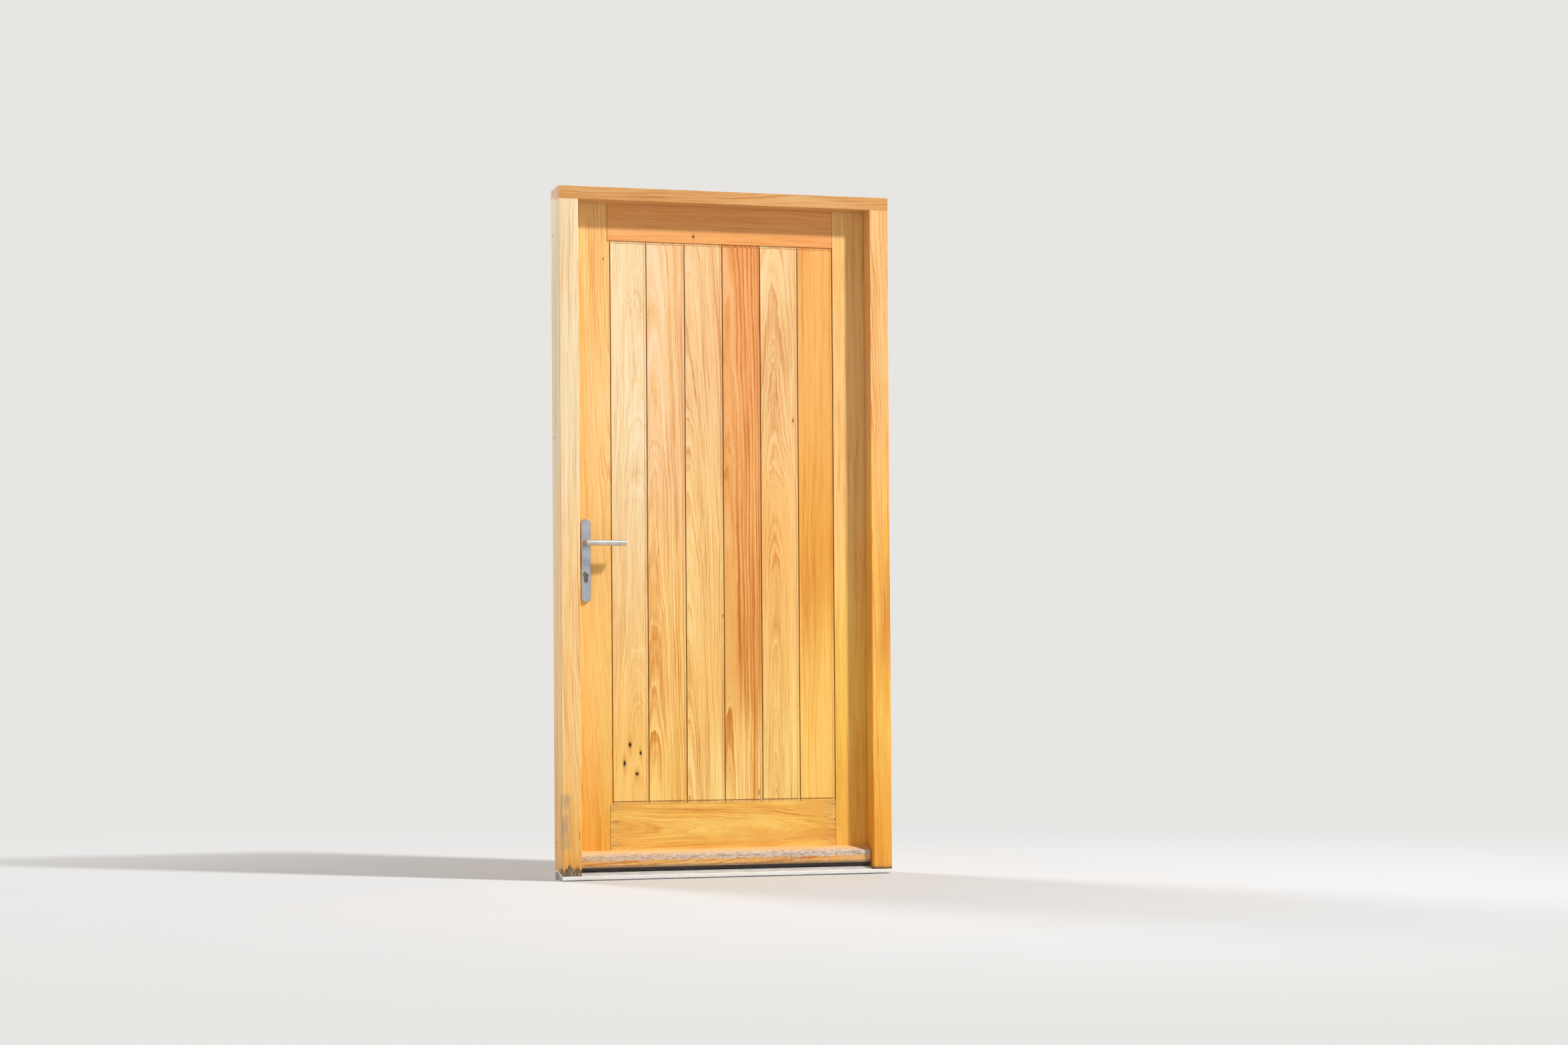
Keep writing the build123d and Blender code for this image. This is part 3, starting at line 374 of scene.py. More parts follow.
def knot(x, z, width, length):
    """A dark pin knot with a brown halo along the grain; places are in metres on the outer face."""
    shake = (0.006, 0.0, 0.008)
    middle = (x + shake[0] / 2, 0.0, z + shake[2] / 2)

    def put(tree, place, colour, rough, height):
        wobble = node(tree, "ShaderNodeTexNoise", {"noise_dimensions": "3D"},
                      {"Vector": place, "Scale": 300.0})
        shaken = vector_maths(tree, "MULTIPLY_ADD", wobble.outputs["Color"], shake, place)[0]
        moved = vector_maths(tree, "SUBTRACT", shaken, middle)[0]
        sized = vector_maths(tree, "MULTIPLY", moved, (2.0 / width, 0.0, 2.0 / length))[0]
        away = vector_maths(tree, "LENGTH", sized)["Value"]
        wide = vector_maths(tree, "MULTIPLY", moved, (0.8 / width, 0.0, 0.35 / length))[0]
        around = vector_maths(tree, "LENGTH", wide)["Value"]
        outer = outer_face(tree, place, OUTER_WOOD_END)
        heart = times(tree, ramped(tree, away, 1.1, 0.75), outer)
        halo = times(tree, ramped(tree, around, 1.3, 0.2, 0.0, 0.55), outer)
        ring = times(tree, ramped(tree, away, 1.9, 1.0, 0.0, 0.8), outer)
        for share, stain in ((halo, KNOT_HALO), (ring, KNOT_RING), (heart, KNOT_HEART)):
            colour = mixed(tree, share, colour, stain)
        return colour, rough, minus(tree, height, times(tree, heart, 3.0))
    return put


def crack(x, low, high, width, slope=0.0):
    """A thin dark split along the grain, low and high in metres above the ground."""
    def put(tree, place, colour, rough, height):
        axes = split_axes(tree, place)
        rise = minus(tree, axes["Z"], (low + high) / 2)
        wander = times(tree, centred(tree, noise(tree, place, (30.0, 30.0, 60.0), 3.0)), 0.006)
        middle = plus(tree, times(tree, rise, slope), wander)
        off = distance_from(tree, minus(tree, axes["X"], x), middle)
        ends = ramped(tree, maths(tree, "ABSOLUTE", rise), (high - low) / 2, (high - low) / 5)
        mask = times(tree, ramped(tree, off, width, width * 0.3), ends,
                     outer_face(tree, place, OUTER_WOOD_END))
        return mixed(tree, mask, colour, SPLIT_DARK), rough, minus(tree, height, times(tree, mask, 3.0))
    return put


def joint_painted_shade(tree, place, colour, rough, height):
    """Painted shade: darkens the wood deep in the open joints behind the outer face."""
    axes = split_axes(tree, place)
    edge = 0.001
    across = window(tree, axes["X"], -FIELD_SIDE - edge, FIELD_SIDE + edge, edge)
    along = window(tree, axes["Z"], FIELD_LOW - edge, FIELD_HIGH + edge, edge)
    depth = window(tree, axes["Y"], GAP_MOUTH, GAP_BOTTOM, 0.0014)
    joint_shade = times(tree, across, along, times(tree, depth, 0.85))
    return mixed(tree, joint_shade, colour, GAP_SHADE_BROWN), rough, height


def step_shadow_lines(step):
    """Painted shadow on the joint's floor round a board's raised face, with grain ticks in it; step is where
    that face ends on the right.
    """
    def put(tree, place, colour, rough, height):
        axes = split_axes(tree, place)
        near, far = 0.0005, 0.0016
        floor = window(tree, axes["Y"], JOINT_FLOOR - 0.0005, JOINT_FLOOR + 0.0005, 0.0008)
        beside = ramped(tree, distance_from(tree, axes["X"], step + SIDE_LINE), far, near)
        rise = distance_from(tree, axes["Z"], (FIELD_LOW + FIELD_HIGH) / 2)
        reach = (FIELD_HIGH - FIELD_LOW) / 2 - END_LINE
        ends = ramped(tree, distance_from(tree, rise, reach), far, near)
        ticks = ramped(tree, noise(tree, place, (420.0, 420.0, 60.0)), 0.56, 0.68, 0.0, 0.28)
        # Painted shadow: dark lines beside the raised edge and in from the board's ends, and a faint shade
        # over the whole floor; the ticks are grain.
        shadow_and_ticks = larger(tree, larger(tree, beside, ends), plus(tree, ticks, 0.14))
        return mixed(tree, times(tree, shadow_and_ticks, floor, 0.75), colour, FLOOR_SHADOW_AND_TICKS), rough, height
    return put


def rotten_foot(top, teeth, stain):
    """Grey rotted end grain up to top, with ragged teeth and a damp stain above it, in metres."""
    def put(tree, place, colour, rough, height):
        axes = split_axes(tree, place)
        tooth = centred(tree, noise(tree, place, (65.0, 65.0, 5.0), 4.0, 0.7))
        edge = minus(tree, minus(tree, axes["Z"], top), times(tree, tooth, teeth))
        outer = ramped(tree, axes["Y"], 0.02, -0.02)
        decay = times(tree, ramped(tree, edge, 0.002, -0.002), outer)
        rim = times(tree, window(tree, edge, -0.001, 0.001, 0.006), outer)
        strands = noise(tree, place, (520.0, 520.0, 12.0), 4.0, 0.7)
        grey = mixed(tree, ramped(tree, strands, 0.35, 0.68), ROT_DARK, ROT_PALE)
        damp = times(tree, ramped(tree, edge, stain, 0.0, 0.0, 0.5), outer)
        colour = mixed(tree, damp, colour, DAMP_ORANGE)
        colour = mixed(tree, decay, colour, grey)
        colour = mixed(tree, times(tree, rim, 0.7), colour, ROT_RIM)
        rough = larger(tree, rough, times(tree, decay, 0.9))
        carved = times(tree, decay, ramped(tree, strands, 0.65, 0.35), 4.0)
        return colour, rough, minus(tree, height, carved)
    return put


def grey_patch(x_range, z_range, soft, strength):
    """A patch where the oil has gone and the wood has greyed; soft is how far its edges fade, X then Z."""
    def put(tree, place, colour, rough, height):
        axes = split_axes(tree, place)
        patch = times(tree, window(tree, axes["X"], *x_range, soft[0]),
                      window(tree, axes["Z"], *z_range, soft[1]), ramped(tree, axes["Y"], -0.01, -0.05))
        worn = ramped(tree, noise(tree, place, (140.0, 140.0, 22.0), 4.0, 0.65), 0.35, 0.6)
        mask = times(tree, patch, worn, strength)
        grey = mixed(tree, noise(tree, place, (600.0, 600.0, 14.0), 3.0, 0.7), WORN_DARK, WORN_PALE)
        rough = maths(tree, "ADD", rough, times(tree, mask, 0.3), clamp=True)
        return mixed(tree, mask, colour, grey), rough, height
    return put


def end_checks(tree, place, colour, rough, height):
    """Small dark checks and greying at both ends of the bottom rail."""
    axes = split_axes(tree, place)
    end = ramped(tree, maths(tree, "ABSOLUTE", axes["X"]), FIELD_SIDE - 0.062, FIELD_SIDE)
    end = times(tree, end, outer_face(tree, place, RAIL_FACE_END))
    lines = noise(tree, place, (16.0, 300.0, 300.0), 3.0, 0.7)
    checks = times(tree, ramped(tree, lines, 0.55, 0.68), end)
    worn = times(tree, ramped(tree, noise(tree, place, (60.0, 90.0, 90.0), 3.0, 0.6), 0.4, 0.65), end)
    colour = mixed(tree, times(tree, worn, 0.35), colour, END_GREY)
    colour = mixed(tree, times(tree, checks, 0.8), colour, CHECK_DARK)
    return colour, rough, minus(tree, height, times(tree, checks, 2.0))


def darker_zones(tree, place, colour, rough, height):
    """Broad, slightly darker and redder zones along the bottom rail."""
    drift = noise(tree, place, (5.0, 14.0, 14.0), 3.0, 0.55, (4.0, 0.0, 2.0))
    zone = times(tree, ramped(tree, drift, 0.42, 0.68, 0.0, 0.6), outer_face(tree, place, RAIL_FACE_END))
    return mixed(tree, zone, colour, ZONE_ORANGE), rough, height


def weathered_front(tree, place, colour, rough, height):
    """The weatherboard: bleached top, grey-white front arris, mottled front and a dark foot."""
    axes = split_axes(tree, place)
    out, up = minus(tree, axes["Y"], ARRIS_Y), minus(tree, axes["Z"], ARRIS_Z)
    away = maths(tree, "SQRT", plus(tree, times(tree, out, out), times(tree, up, up)))
    blotch = noise(tree, place, (42.0, 120.0, 120.0), 5.0, 0.7)
    lines = noise(tree, place, (60.0, 300.0, 300.0), 5.0, 0.75)
    pits = noise(tree, place, (110.0, 260.0, 260.0), 4.0, 0.7)
    top = ramped(tree, axes["Y"], ARRIS_Y + 0.004, ARRIS_Y + 0.012)
    front = minus(tree, 1.0, top)
    colour = mixed(tree, times(tree, top, 0.65), colour, BLEACHED_TOP)
    right = ramped(tree, axes["X"], -0.45, 0.35, 0.75, 1.05)
    band = plus(tree, ramped(tree, away, 0.026, 0.004), centred(tree, blotch))
    band = maths(tree, "MULTIPLY", ramped(tree, band, 0.32, 0.62), right, clamp=True)
    worn = larger(tree, band, times(tree, ramped(tree, blotch, 0.52, 0.70), front))
    grey = mixed(tree, ramped(tree, lines, 0.35, 0.65), WEATHER_DARK, WEATHER_PALE)
    colour = mixed(tree, times(tree, worn, 0.85), colour, grey)
    stains = larger(tree, times(tree, ramped(tree, pits, 0.55, 0.72), front),
                    times(tree, ramped(tree, lines, 0.58, 0.72), front))
    colour = mixed(tree, times(tree, stains, 0.6), colour, PIT_BROWN)
    foot = ramped(tree, plus(tree, axes["Z"], times(tree, centred(tree, blotch), 0.012)), 0.046, 0.038)
    colour = mixed(tree, times(tree, foot, 0.7), colour, FOOT_GREY)
    rough = larger(tree, rough, times(tree, worn, 0.85))
    relief = times(tree, plus(tree, stains, ramped(tree, lines, 0.4, 0.7)), front, 1.6)
    return colour, rough, minus(tree, height, relief)


# Metals and rubber

def steel_material(name, colour, roughness, brushed, scratched=0.0, brown_reflection=0.0):
    """Brushed metal; scratched is the share of pale scratches and the last share that of dark brown painted
    reflection, both from 0 to 1.
    """
    material, tree, shader, place = new_material(name)
    lines = noise(tree, place, brushed, 2.0, 0.6)
    smudge = noise(tree, place, (35.0, 35.0, 35.0), 3.0, 0.6)
    finish = mixed(tree, ramped(tree, smudge, 0.35, 0.7), (*[c * 1.08 for c in colour], 1.0),
                   (*[c * 0.86 for c in colour], 1.0))
    if scratched:
        swirl = maths(tree, "ABSOLUTE", centred(tree, noise(tree, place, (75.0, 75.0, 55.0), 2.0, 0.4)))
        scratch = times(tree, ramped(tree, swirl, 0.010, 0.002), ramped(tree, smudge, 0.45, 0.6), scratched)
        finish = mixed(tree, scratch, finish, SCRATCH_PALE)
    if brown_reflection:
        # Painted reflection: dark brown clouds stand in for the wood mirrored in the polished metal.
        cloud = noise(tree, place, (70.0, 70.0, 45.0), 2.0, 0.5, (3.0, 0.0, 1.5))
        finish = mixed(tree, ramped(tree, cloud, 0.36, 0.52, 0.0, brown_reflection), finish, REFLECTED_BROWN)
    link(tree, finish, shader.inputs["Base Color"])
    shader.inputs["Metallic"].default_value = 1.0
    rough = plus(tree, ramped(tree, lines, 0.3, 0.7, roughness - 0.06, roughness + 0.08, False),
                 ramped(tree, smudge, 0.4, 0.8, 0.0, 0.08, False))
    link(tree, rough, shader.inputs["Roughness"])
    bumped(tree, shader, lines, 0.00003)
    return material


def dusty_aluminium(name, colour):
    """Drawn aluminium under a film of dust with dark specks."""
    material, tree, shader, place = new_material(name)
    lines = noise(tree, place, (4.0, 500.0, 500.0), 2.0, 0.6)
    dust = noise(tree, place, (22.0, 60.0, 60.0), 5.0, 0.65)
    specks = ramped(tree, noise(tree, place, (420.0, 420.0, 420.0), 1.0), 0.68, 0.78)
    film = ramped(tree, dust, 0.45, 0.8)
    tinted = mixed(tree, times(tree, film, 0.35), (*colour, 1.0), DUST_BEIGE)
    tinted = mixed(tree, times(tree, specks, 0.6), tinted, SPECK_BROWN)
    link(tree, tinted, shader.inputs["Base Color"])
    link(tree, ramped(tree, dust, 0.3, 0.8, 0.55, 0.2), shader.inputs["Metallic"])
    link(tree, ramped(tree, dust, 0.3, 0.75, 0.36, 0.62), shader.inputs["Roughness"])
    bumped(tree, shader, plus(tree, lines, specks), 0.00005)
    return material


def rubber_material(name):
    """Black rubber with some dust on it."""
    material, tree, shader, place = new_material(name)
    dust = ramped(tree, noise(tree, place, (60.0, 60.0, 60.0), 4.0, 0.6), 0.45, 0.75)
    link(tree, mixed(tree, dust, RUBBER_BLACK, RUBBER_DUSTY), shader.inputs["Base Color"])
    link(tree, ramped(tree, dust, 0.0, 1.0, 0.55, 0.8), shader.inputs["Roughness"])
    bumped(tree, shader, noise(tree, place, (900.0, 900.0, 900.0), 1.0), 0.00004)
    return material


def foam_material(name):
    """Yellowish foam with fine cells."""
    material, tree, shader, place = new_material(name)
    cells = noise(tree, place, (900.0, 900.0, 900.0), 2.0, 0.6)
    link(tree, mixed(tree, cells, FOAM_DARK, FOAM_PALE), shader.inputs["Base Color"])
    link(tree, ramped(tree, cells, 0.3, 0.7, 0.75, 0.95), shader.inputs["Roughness"])
    bumped(tree, shader, cells, 0.0003)
    return material


# What a user may change

def colour_property(title, text, default):
    return bpy.props.FloatVectorProperty(name=title, description=text, subtype="COLOR", min=0.0, max=1.0,
                                         default=default)


def length_property(title, text, default):
    return bpy.props.FloatProperty(name=title, description=text, unit="LENGTH", default=default)


def angle_property(title, text, degrees):
    return bpy.props.FloatProperty(name=title, description=text, subtype="ANGLE", default=radians(degrees))


def number_property(title, text, default):
    return bpy.props.FloatProperty(name=title, description=text, default=default)


class FrontDoorOak(bpy.types.PropertyGroup):
    """Pores and growth rings of the oak."""
    pore: colour_property("Pores", "Colour of the open pores", (0.38, 0.13, 0.03))
    ring: length_property("Ring width", "Usual width of a growth ring", 0.005)


class FrontDoorMetal(bpy.types.PropertyGroup):
    """Colours of the metal."""
    satin: colour_property("Satin steel", "Lever handles and hinges", (0.60, 0.59, 0.57))
    plate: colour_property("Plates", "Plates behind the lever handles", (0.46, 0.485, 0.525))
    zinc: colour_property("Zinc plate", "Lock, keeps and screws", (0.56, 0.56, 0.55))
    nickel: colour_property("Nickel plate", "Profile cylinder", (0.66, 0.64, 0.60))
    aluminium: colour_property("Aluminium", "Threshold and seal carrier", (0.86, 0.86, 0.85))


class FrontDoorStage(bpy.types.PropertyGroup):
    """Camera, floor and light."""
    camera_place: bpy.props.FloatVectorProperty(
        name="Camera place", description="Where the camera stands", subtype="XYZ", unit="LENGTH",
        default=(-2.165, -8.4185, 0.585))
    camera_yaw: angle_property("Yaw", "Turn of the camera to the right of straight on", 15.615)
    camera_pitch: angle_property("Pitch", "Upward tilt of the camera", 0.670)
    camera_roll: angle_property("Roll", "Roll of the camera", -0.389)
    focal_pixels: number_property(
        "Focal length", "Focal length in pixels of the whole picture", 4348.33)
    centre_drop: number_property(
        "Centre drop", "How far the optical centre lies below the middle, in pixels", 186.27)
    floor_colour: colour_property("Floor", "Pale floor and background", (0.80, 0.79, 0.77))
    key_power: bpy.props.FloatProperty(
        name="Key light", description="Power of the main softbox", subtype="POWER", default=1450.0)
    world_strength: number_property("Fill", "Strength of the even light all round", 0.33)


# Finishes, one operator for each group of pieces

def box_middle(name):
    """The middle of a piece's box."""
    low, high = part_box(name)
    return (low + high) / 2


def oak_look(seed, *tones, **changes):
    """tones are pairs of a height in metres and the wood's colour there, from the foot up."""
    oak = bpy.context.scene.front_door_oak
    look = {
        "seed": seed, "tones": tones, "pore_colour": tuple(oak.pore), "ring": oak.ring, "waviness": 0.030,
        "pith_across": 0.01, "pith_depth": 0.09, "lean": 0.03, "boldness": 0.5, "bold_zones": (),
        "streaks": 0.8, "threads": 0.8, "pores": 0.5, "extras": (),
    }
    look.update(changes)
    return look


def coat_oak(name, along, look):
    """Oils one piece; along is the axis that its grain follows."""
    paint(oak_material(f"{name}_oak", along, tuple(box_middle(name)), look), name)


class DOOR_OT_frame(bpy.types.Operator):
    """Oils the oak of the head and the jambs"""
    bl_idname = "front_door.frame"
    bl_label = "Frame"

    def execute(self, context):
        coat_oak("head", "X", oak_look(
            1.0, (2.0, (0.68, 0.36, 0.12)), pith_across=0.05, pith_depth=0.12, boldness=0.3))
        coat_oak("lock_jamb", "Z", oak_look(
            2.0, (0.10, (0.87, 0.48, 0.12)), (0.6, (0.97, 0.64, 0.27)), (1.5, (0.89, 0.70, 0.42)),
            pith_across=0.03, pith_depth=0.05, boldness=0.22,
            extras=(grey_patch((-0.51, -0.490), (0.11, 0.24), (0.016, 0.03), 0.8),
                    crack(-0.455, 0.112, 0.150, 0.0009, 0.05), rotten_foot(0.032, 0.090, 0.05))))
        coat_oak("hinge_jamb", "Z", oak_look(
            3.0, (0.10, (0.90, 0.43, 0.055)), (0.5, (0.95, 0.55, 0.10)), (0.9, (0.90, 0.49, 0.10)),
            (1.6, (0.88, 0.51, 0.19)), pith_across=-0.04, lean=0.02, boldness=0.28,
            extras=(rotten_foot(0.017, 0.010, 0.02),)))
        return {"FINISHED"}


class DOOR_OT_leaf(bpy.types.Operator):
    """Oils the oak of the stiles and rails and finishes the foam"""
    bl_idname = "front_door.leaf"
    bl_label = "Stiles and rails"

    def execute(self, context):
        coat_oak("lock_stile", "Z", oak_look(
            4.0, (0.08, (0.85, 0.41, 0.05)), (0.5, (0.89, 0.53, 0.14)), (1.4, (0.90, 0.55, 0.20)),
            pith_across=0.08, pith_depth=0.10, lean=-0.05, boldness=0.25,
            extras=(joint_painted_shade, knot(-0.3605, 1.8415, 0.0025, 0.004))))
        coat_oak("hinge_stile", "Z", oak_look(
            5.0, (0.10, (0.90, 0.48, 0.07)), (0.5, (0.93, 0.57, 0.10)), (1.3, (0.91, 0.565, 0.20)),
            pith_across=0.15, pith_depth=0.06, lean=0.01, boldness=0.22, extras=(joint_painted_shade,)))
        # The top rail's tone is deeper and more orange than its wood alone: partly painted shade falling
        # from above.
        coat_oak("top_rail", "X", oak_look(
            6.0, (2.0, (0.86, 0.40, 0.12)), pith_across=0.10, lean=0.01, boldness=0.2,
            extras=(joint_painted_shade, knot(-0.0845, 1.917, 0.005, 0.006))))
        coat_oak("bottom_rail", "X", oak_look(
            7.0, (0.1, (0.93, 0.54, 0.105)), pith_across=0.02, waviness=0.04, boldness=0.12, pores=1.0,
            streaks=1.1, threads=1.5, ring=0.004, extras=(darker_zones, joint_painted_shade, end_checks)))
        paint(foam_material("insulating_foam"), "insulation_core")
        return {"FINISHED"}


def raised_edge(k):
    """Where the raised face of outer board k (from 0) steps down to its joint, across the door."""
    if k + 1 < BOARD_COUNT:
        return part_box(f"outer_board_{k + 2}")[0].x - JOINT_WIDTH
    return FIELD_SIDE - JOINT_WIDTH


class DOOR_OT_boards(bpy.types.Operator):
    """Gives each board its own tone and figure"""
    bl_idname = "front_door.boards"
    bl_label = "Boards"

    def execute(self, context):
        looks = (
            {"tones": ((0.25, (0.92, 0.55, 0.14)), (1.3, (0.90, 0.69, 0.39))),
             "boldness": 0.10, "streaks": 0.5, "pith_across": 0.02, "lean": 0.03, "pores": 0.2,
             "extras": (knot(-0.288, 0.397, 0.007, 0.012), knot(-0.256, 0.373, 0.005, 0.010),
                        knot(-0.305, 0.342, 0.006, 0.013), knot(-0.267, 0.310, 0.008, 0.008))},
            {"tones": ((0.25, (0.95, 0.60, 0.16)), (0.7, (0.95, 0.60, 0.19)), (1.3, (0.90, 0.56, 0.26))),
             "boldness": 0.22, "bold_zones": ((0.40, 0.85, 0.2),), "streaks": 1.3, "pith_across": -0.045,
             "pith_depth": 0.07, "lean": 0.03, "ring": 0.006, "threads": 1.1},
            {"tones": ((0.25, (0.94, 0.63, 0.20)), (0.6, (0.91, 0.55, 0.16)), (0.95, (0.92, 0.61, 0.23)),
                       (1.5, (0.89, 0.57, 0.26))),
             "boldness": 0.34, "streaks": 1.0, "pith_across": -0.055, "pith_depth": 0.06, "lean": 0.05,
             "ring": 0.004, "extras": (knot(0.0, 0.78, 0.003, 0.004),)},
            {"tones": ((0.3, (0.94, 0.60, 0.18)), (0.65, (0.81, 0.39, 0.09)), (1.6, (0.84, 0.38, 0.12))),
             "boldness": 0.45, "bold_zones": ((0.75, 1.05, 0.3),), "streaks": 1.5, "pith_across": -0.05,
             "pith_depth": 0.05, "lean": 0.02, "ring": 0.009, "pores": 0.8, "threads": 1.4,
             "extras": (crack(0.108, 0.235, 0.262, 0.0016),)},
            {"tones": ((0.3, (0.93, 0.63, 0.19)), (1.0, (0.89, 0.49, 0.14)), (1.5, (0.89, 0.59, 0.27))),
             "boldness": 0.22, "streaks": 0.9, "pith_across": -0.02, "pith_depth": 0.055, "lean": 0.05,
             "ring": 0.0045, "extras": (knot(0.222, 1.37, 0.004, 0.006),)},
            {"tones": ((0.6, (0.94, 0.545, 0.115)), (0.95, (0.84, 0.40, 0.06)), (1.6, (0.86, 0.43, 0.11))),
             "boldness": 0.06, "streaks": 0.6, "pith_across": 0.22, "pith_depth": 0.10, "lean": 0.01},
        )
        for side, first_seed in (("outer", 10.0), ("inner", 30.0)):
            for k, look in enumerate(looks):
                figure = {key: value for key, value in look.items() if key not in ("tones", "extras")}
                if side == "outer":
                    figure["extras"] = (joint_painted_shade, step_shadow_lines(raised_edge(k)), *look.get("extras", ()))
                seed = first_seed + SEED_STEP * k
                coat_oak(f"{side}_board_{k + 1}", "Z", oak_look(seed, *look["tones"], **figure))
        return {"FINISHED"}


class DOOR_OT_weatherboard(bpy.types.Operator):
    """Weathers the moulded board at the foot"""
    bl_idname = "front_door.weatherboard"
    bl_label = "Weatherboard"

    def execute(self, context):
        coat_oak("weatherboard", "X", oak_look(
            50.0, (0.1, (0.88, 0.47, 0.12)), ring=0.004, pores=1.0, extras=(weathered_front,)))
        return {"FINISHED"}


class DOOR_OT_threshold(bpy.types.Operator):
    """Finishes the threshold and the seals"""
    bl_idname = "front_door.threshold"
    bl_label = "Threshold and seals"

    def execute(self, context):
        paint(dusty_aluminium("dusty_aluminium", tuple(context.scene.front_door_metal.aluminium)),
              "threshold", "seal_carrier")
        paint(rubber_material("seal_rubber"), "frame_seals", "drip_seal", "bottom_seal")
        return {"FINISHED"}


class DOOR_OT_handles(bpy.types.Operator):
    """Finishes the lever handles, the plates and the cylinder"""
    bl_idname = "front_door.handles"
    bl_label = "Handles and cylinder"

    def execute(self, context):
        metal = context.scene.front_door_metal
        upright = steel_material("satin_plate", tuple(metal.plate), 0.34, BRUSHED_UPRIGHT, scratched=0.28)
        level = steel_material("satin_lever", tuple(metal.satin), 0.30, BRUSHED_LEVEL)
        # The cylinder carries dark brown painted reflection.
        polished = steel_material("nickel_cylinder", tuple(metal.nickel), 0.20, POLISHED, brown_reflection=0.75)
        paint(upright, "outer_backplate", "inner_backplate", "backplate_bolts", "thumb_turn")
        paint(level, "outer_lever", "inner_lever", "lever_grub_screws")
        paint(polished, "cylinder_body", "key_plug", "cam_plug")
        return {"FINISHED"}


class DOOR_OT_lock(bpy.types.Operator):
    """Finishes the lock, its keeps, the hinges and the screws"""
    bl_idname = "front_door.lock"
    bl_label = "Lock, keeps and hinges"

    def execute(self, context):
        metal = context.scene.front_door_metal
        zinc = steel_material("zinc_plate", tuple(metal.zinc), 0.38, ROLLED)
        paint(zinc, "spindle", "follower", "return_spring", "lock_faceplate", "lock_case", "upper_hook_case",
              "lower_hook_case", "upper_hook", "lower_hook", "drive_bars", "latch_bolt", "deadbolt",
              "centre_keep", "upper_keep", "lower_keep", "frame_screws", "leaf_screws")
        hinge = steel_material("satin_hinge", tuple(metal.satin), 0.36, BRUSHED_UPRIGHT)
        flaps = [f"{height}_{part}_flap"
                 for height in ("lower", "middle", "upper") for part in ("leaf", "jamb")]
        paint(hinge, "hinge_pins", *flaps)
        return {"FINISHED"}


# Studio

def plain_sheet(name, corners):
    """One flat face with these corners."""
    mesh = bpy.data.meshes.new(name)
    mesh.from_pydata(corners, [], [tuple(range(len(corners)))])
    made = bpy.data.objects.new(name, mesh)
    bpy.context.scene.collection.objects.link(made)
    return made


def stage_tint(colour, factor):
    """The floor's own colour, a little cool, so that it looks like the background under the warm lamp."""
    return tuple(c * factor * tint for c, tint in zip(colour, FLOOR_TINT))


def seen_directly(tree):
    """One for rays from the camera and for mirrored ones, nothing for the light that falls on things."""
    ray = node(tree, "ShaderNodeLightPath", {}, {}).outputs
    return larger(tree, ray["Is Camera Ray"], ray["Is Glossy Ray"])


def studio_floor(colour):
    """A pale floor that takes the door's shadow and meets the background without a horizon."""
    corners = [(x * FLOOR_REACH, y * FLOOR_REACH, 0) for x, y in ((-1, -1), (1, -1), (1, 1), (-1, 1))]
    floor = plain_sheet("studio_floor", corners)
    material, tree, shader, place = new_material("studio_floor")
    shades = [(*stage_tint(colour, share), 1.0) for share in FLOOR_SHARES]
    link(tree, mixed(tree, noise(tree, place, (3.0, 3.0, 3.0)), *shades), shader.inputs["Base Color"])
    shader.inputs["Roughness"].default_value = 0.8
    far = ramped(tree, vector_maths(tree, "LENGTH", place)["Value"], *FLOOR_FADE)
    glow = node(tree, "ShaderNodeEmission", {}, {"Color": (*colour, 1.0), "Strength": 1.0})
    both = node(tree, "ShaderNodeMixShader", {}, {0: times(tree, far, seen_directly(tree)),
                                                  1: shader.outputs[0], 2: glow.outputs[0]})
    link(tree, both.outputs[0], tree.nodes["Material Output"].inputs["Surface"])
    floor.data.materials.append(material)


def studio_world(colour, strength):
    """Warm even light on the door; the camera and mirrored rays see the floor's own colour instead."""
    world = bpy.data.worlds.new("studio_world")
    bpy.context.scene.world = world
    world.use_nodes = True
    tree = world.node_tree
    tree.nodes.clear()
    even = node(tree, "ShaderNodeBackground", {}, {"Color": FILL_COLOUR, "Strength": strength})
    shown = node(tree, "ShaderNodeBackground", {}, {"Color": (*colour, 1.0), "Strength": 1.0})
    both = node(tree, "ShaderNodeMixShader", {},
                {0: seen_directly(tree), 1: even.outputs[0], 2: shown.outputs[0]})
    node(tree, "ShaderNodeOutputWorld", {}, {"Surface": both.outputs[0]})


def softbox(name, place, size, power, colour):
    """A round lamp aimed at the middle of the door."""
    lamp = bpy.data.lights.new(name, "AREA")
    lamp.shape = "DISK"
    lamp.size = size
    lamp.energy = power
    lamp.color = colour
    made = bpy.data.objects.new(name, lamp)
    bpy.context.scene.collection.objects.link(made)
    made.location = place
    made.rotation_euler = (Vector(LAMP_AIM) - Vector(place)).to_track_quat("-Z", "Y").to_euler()


def photo_camera(stage):
    """The camera that was solved from the photo, with its optical centre below the middle."""
    yaw, pitch, roll = stage.camera_yaw, stage.camera_pitch, stage.camera_roll
    ahead = Vector((sin(yaw) * cos(pitch), cos(yaw) * cos(pitch), sin(pitch)))
    right = Vector((cos(yaw), -sin(yaw), 0))
    up = right.cross(ahead)
    level_x = right * cos(roll) + up * sin(roll)
    level_y = -right * sin(roll) + up * cos(roll)
    camera = bpy.data.cameras.new("photo_camera")
    made = bpy.data.objects.new("photo_camera", camera)
    bpy.context.scene.collection.objects.link(made)
    turn = Matrix((level_x, level_y, -ahead)).transposed()
    made.matrix_world = Matrix.Translation(stage.camera_place) @ turn.to_4x4()
    camera.sensor_fit = "HORIZONTAL"
    camera.lens = stage.focal_pixels / PHOTO_WIDTH * camera.sensor_width
    camera.shift_y = stage.centre_drop / PHOTO_WIDTH
    bpy.context.scene.camera = made


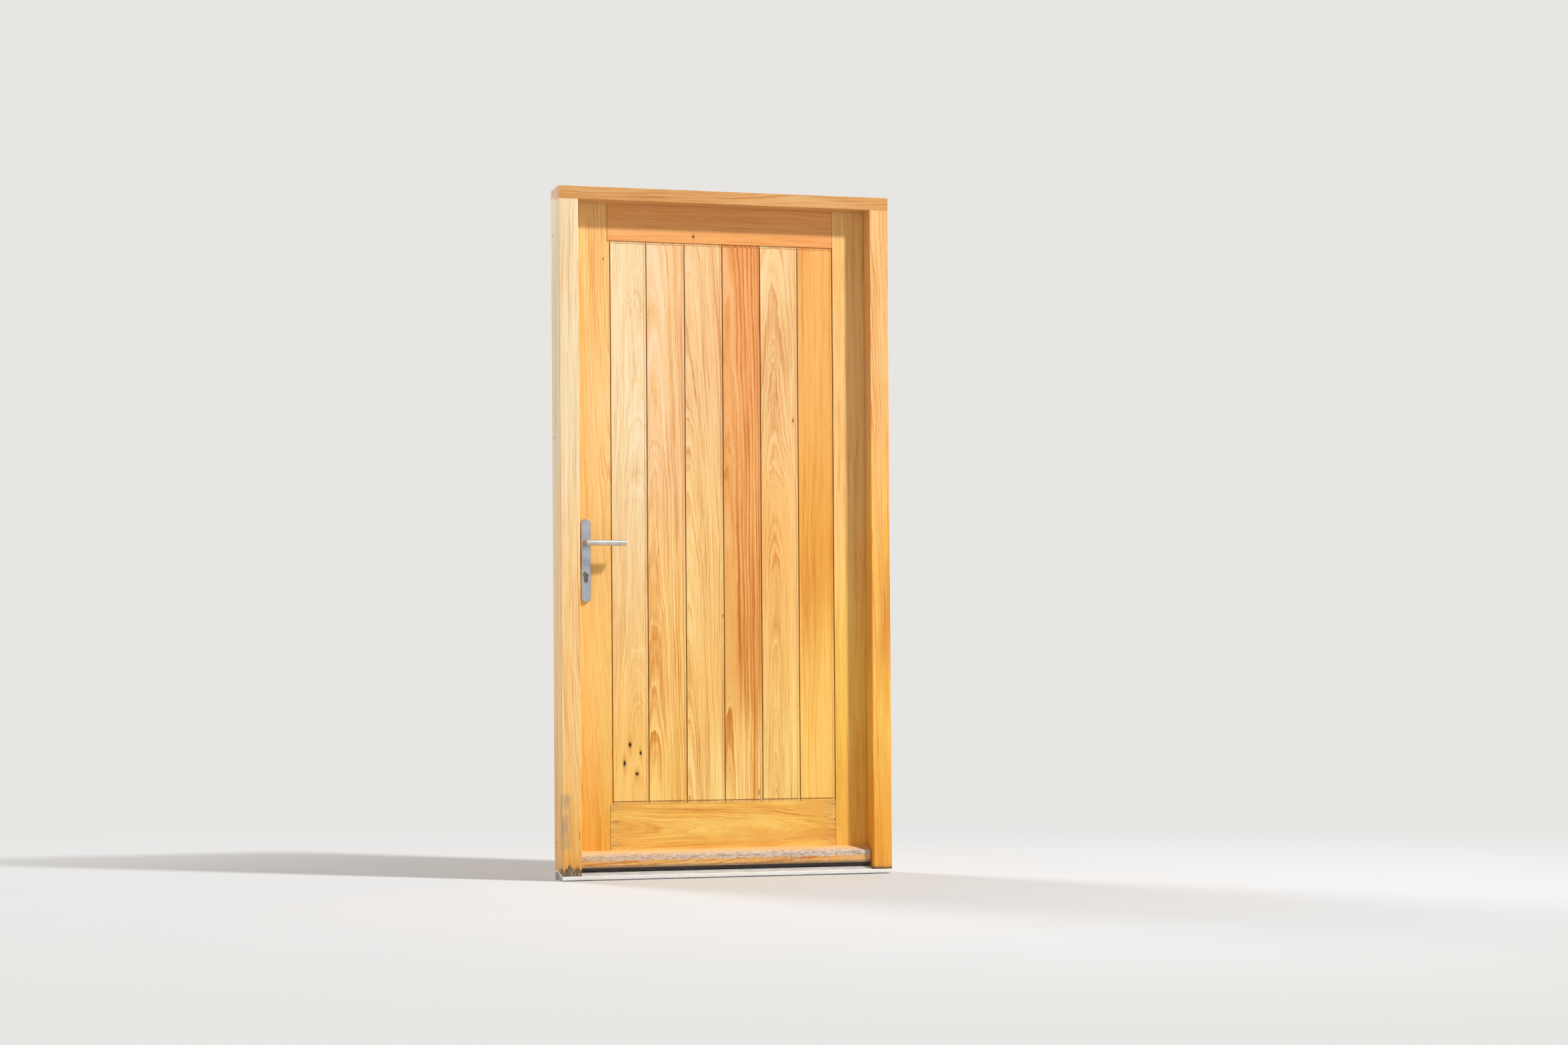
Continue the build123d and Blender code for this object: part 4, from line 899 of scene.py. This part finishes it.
class DOOR_OT_stage(bpy.types.Operator):
    """Sets up the floor, the light and the camera"""
    bl_idname = "front_door.stage"
    bl_label = "Studio"

    def execute(self, context):
        stage = context.scene.front_door_stage
        colour = tuple(stage.floor_colour)
        studio_floor(colour)
        studio_world(colour, stage.world_strength)
        softbox("key_light", KEY_PLACE, KEY_SIZE, stage.key_power, KEY_COLOUR)
        softbox("back_light", BACK_PLACE, BACK_SIZE, stage.key_power * BACK_SHARE, BACK_COLOUR)
        photo_camera(stage)
        context.scene.view_settings.view_transform = "Standard"
        return {"FINISHED"}


class DOOR_PT_panel(bpy.types.Panel):
    """Lists the steps of the front door"""
    bl_idname = "DOOR_PT_panel"
    bl_label = "Front Door"
    bl_space_type = "VIEW_3D"
    bl_region_type = "UI"
    bl_category = "Front Door"

    def draw(self, context):
        for step in STEPS:
            self.layout.operator(step.bl_idname)
        for group in GROUPS:
            settings = getattr(context.scene, group)
            for name in settings.bl_rna.properties.keys():
                if name not in ("rna_type", "name"):
                    self.layout.prop(settings, name)


STEPS = (
    DOOR_OT_frame, DOOR_OT_leaf, DOOR_OT_boards, DOOR_OT_weatherboard, DOOR_OT_threshold, DOOR_OT_handles,
    DOOR_OT_lock, DOOR_OT_stage,
)
GROUPS = {
    "front_door_oak": FrontDoorOak,
    "front_door_metal": FrontDoorMetal,
    "front_door_stage": FrontDoorStage,
}


def register():
    for group in GROUPS.values():
        bpy.utils.register_class(group)
    for name, group in GROUPS.items():
        setattr(bpy.types.Scene, name, bpy.props.PointerProperty(type=group))
    for made in (*STEPS, DOOR_PT_panel):
        bpy.utils.register_class(made)


def unregister():
    for made in (DOOR_PT_panel, *reversed(STEPS)):
        bpy.utils.unregister_class(made)
    for name in GROUPS:
        delattr(bpy.types.Scene, name)
    for group in reversed(GROUPS.values()):
        bpy.utils.unregister_class(group)


def main():
    register()
    for step in STEPS:
        group, name = step.bl_idname.split(".")
        getattr(getattr(bpy.ops, group), name)()


if __name__ == "__main__":
    main()
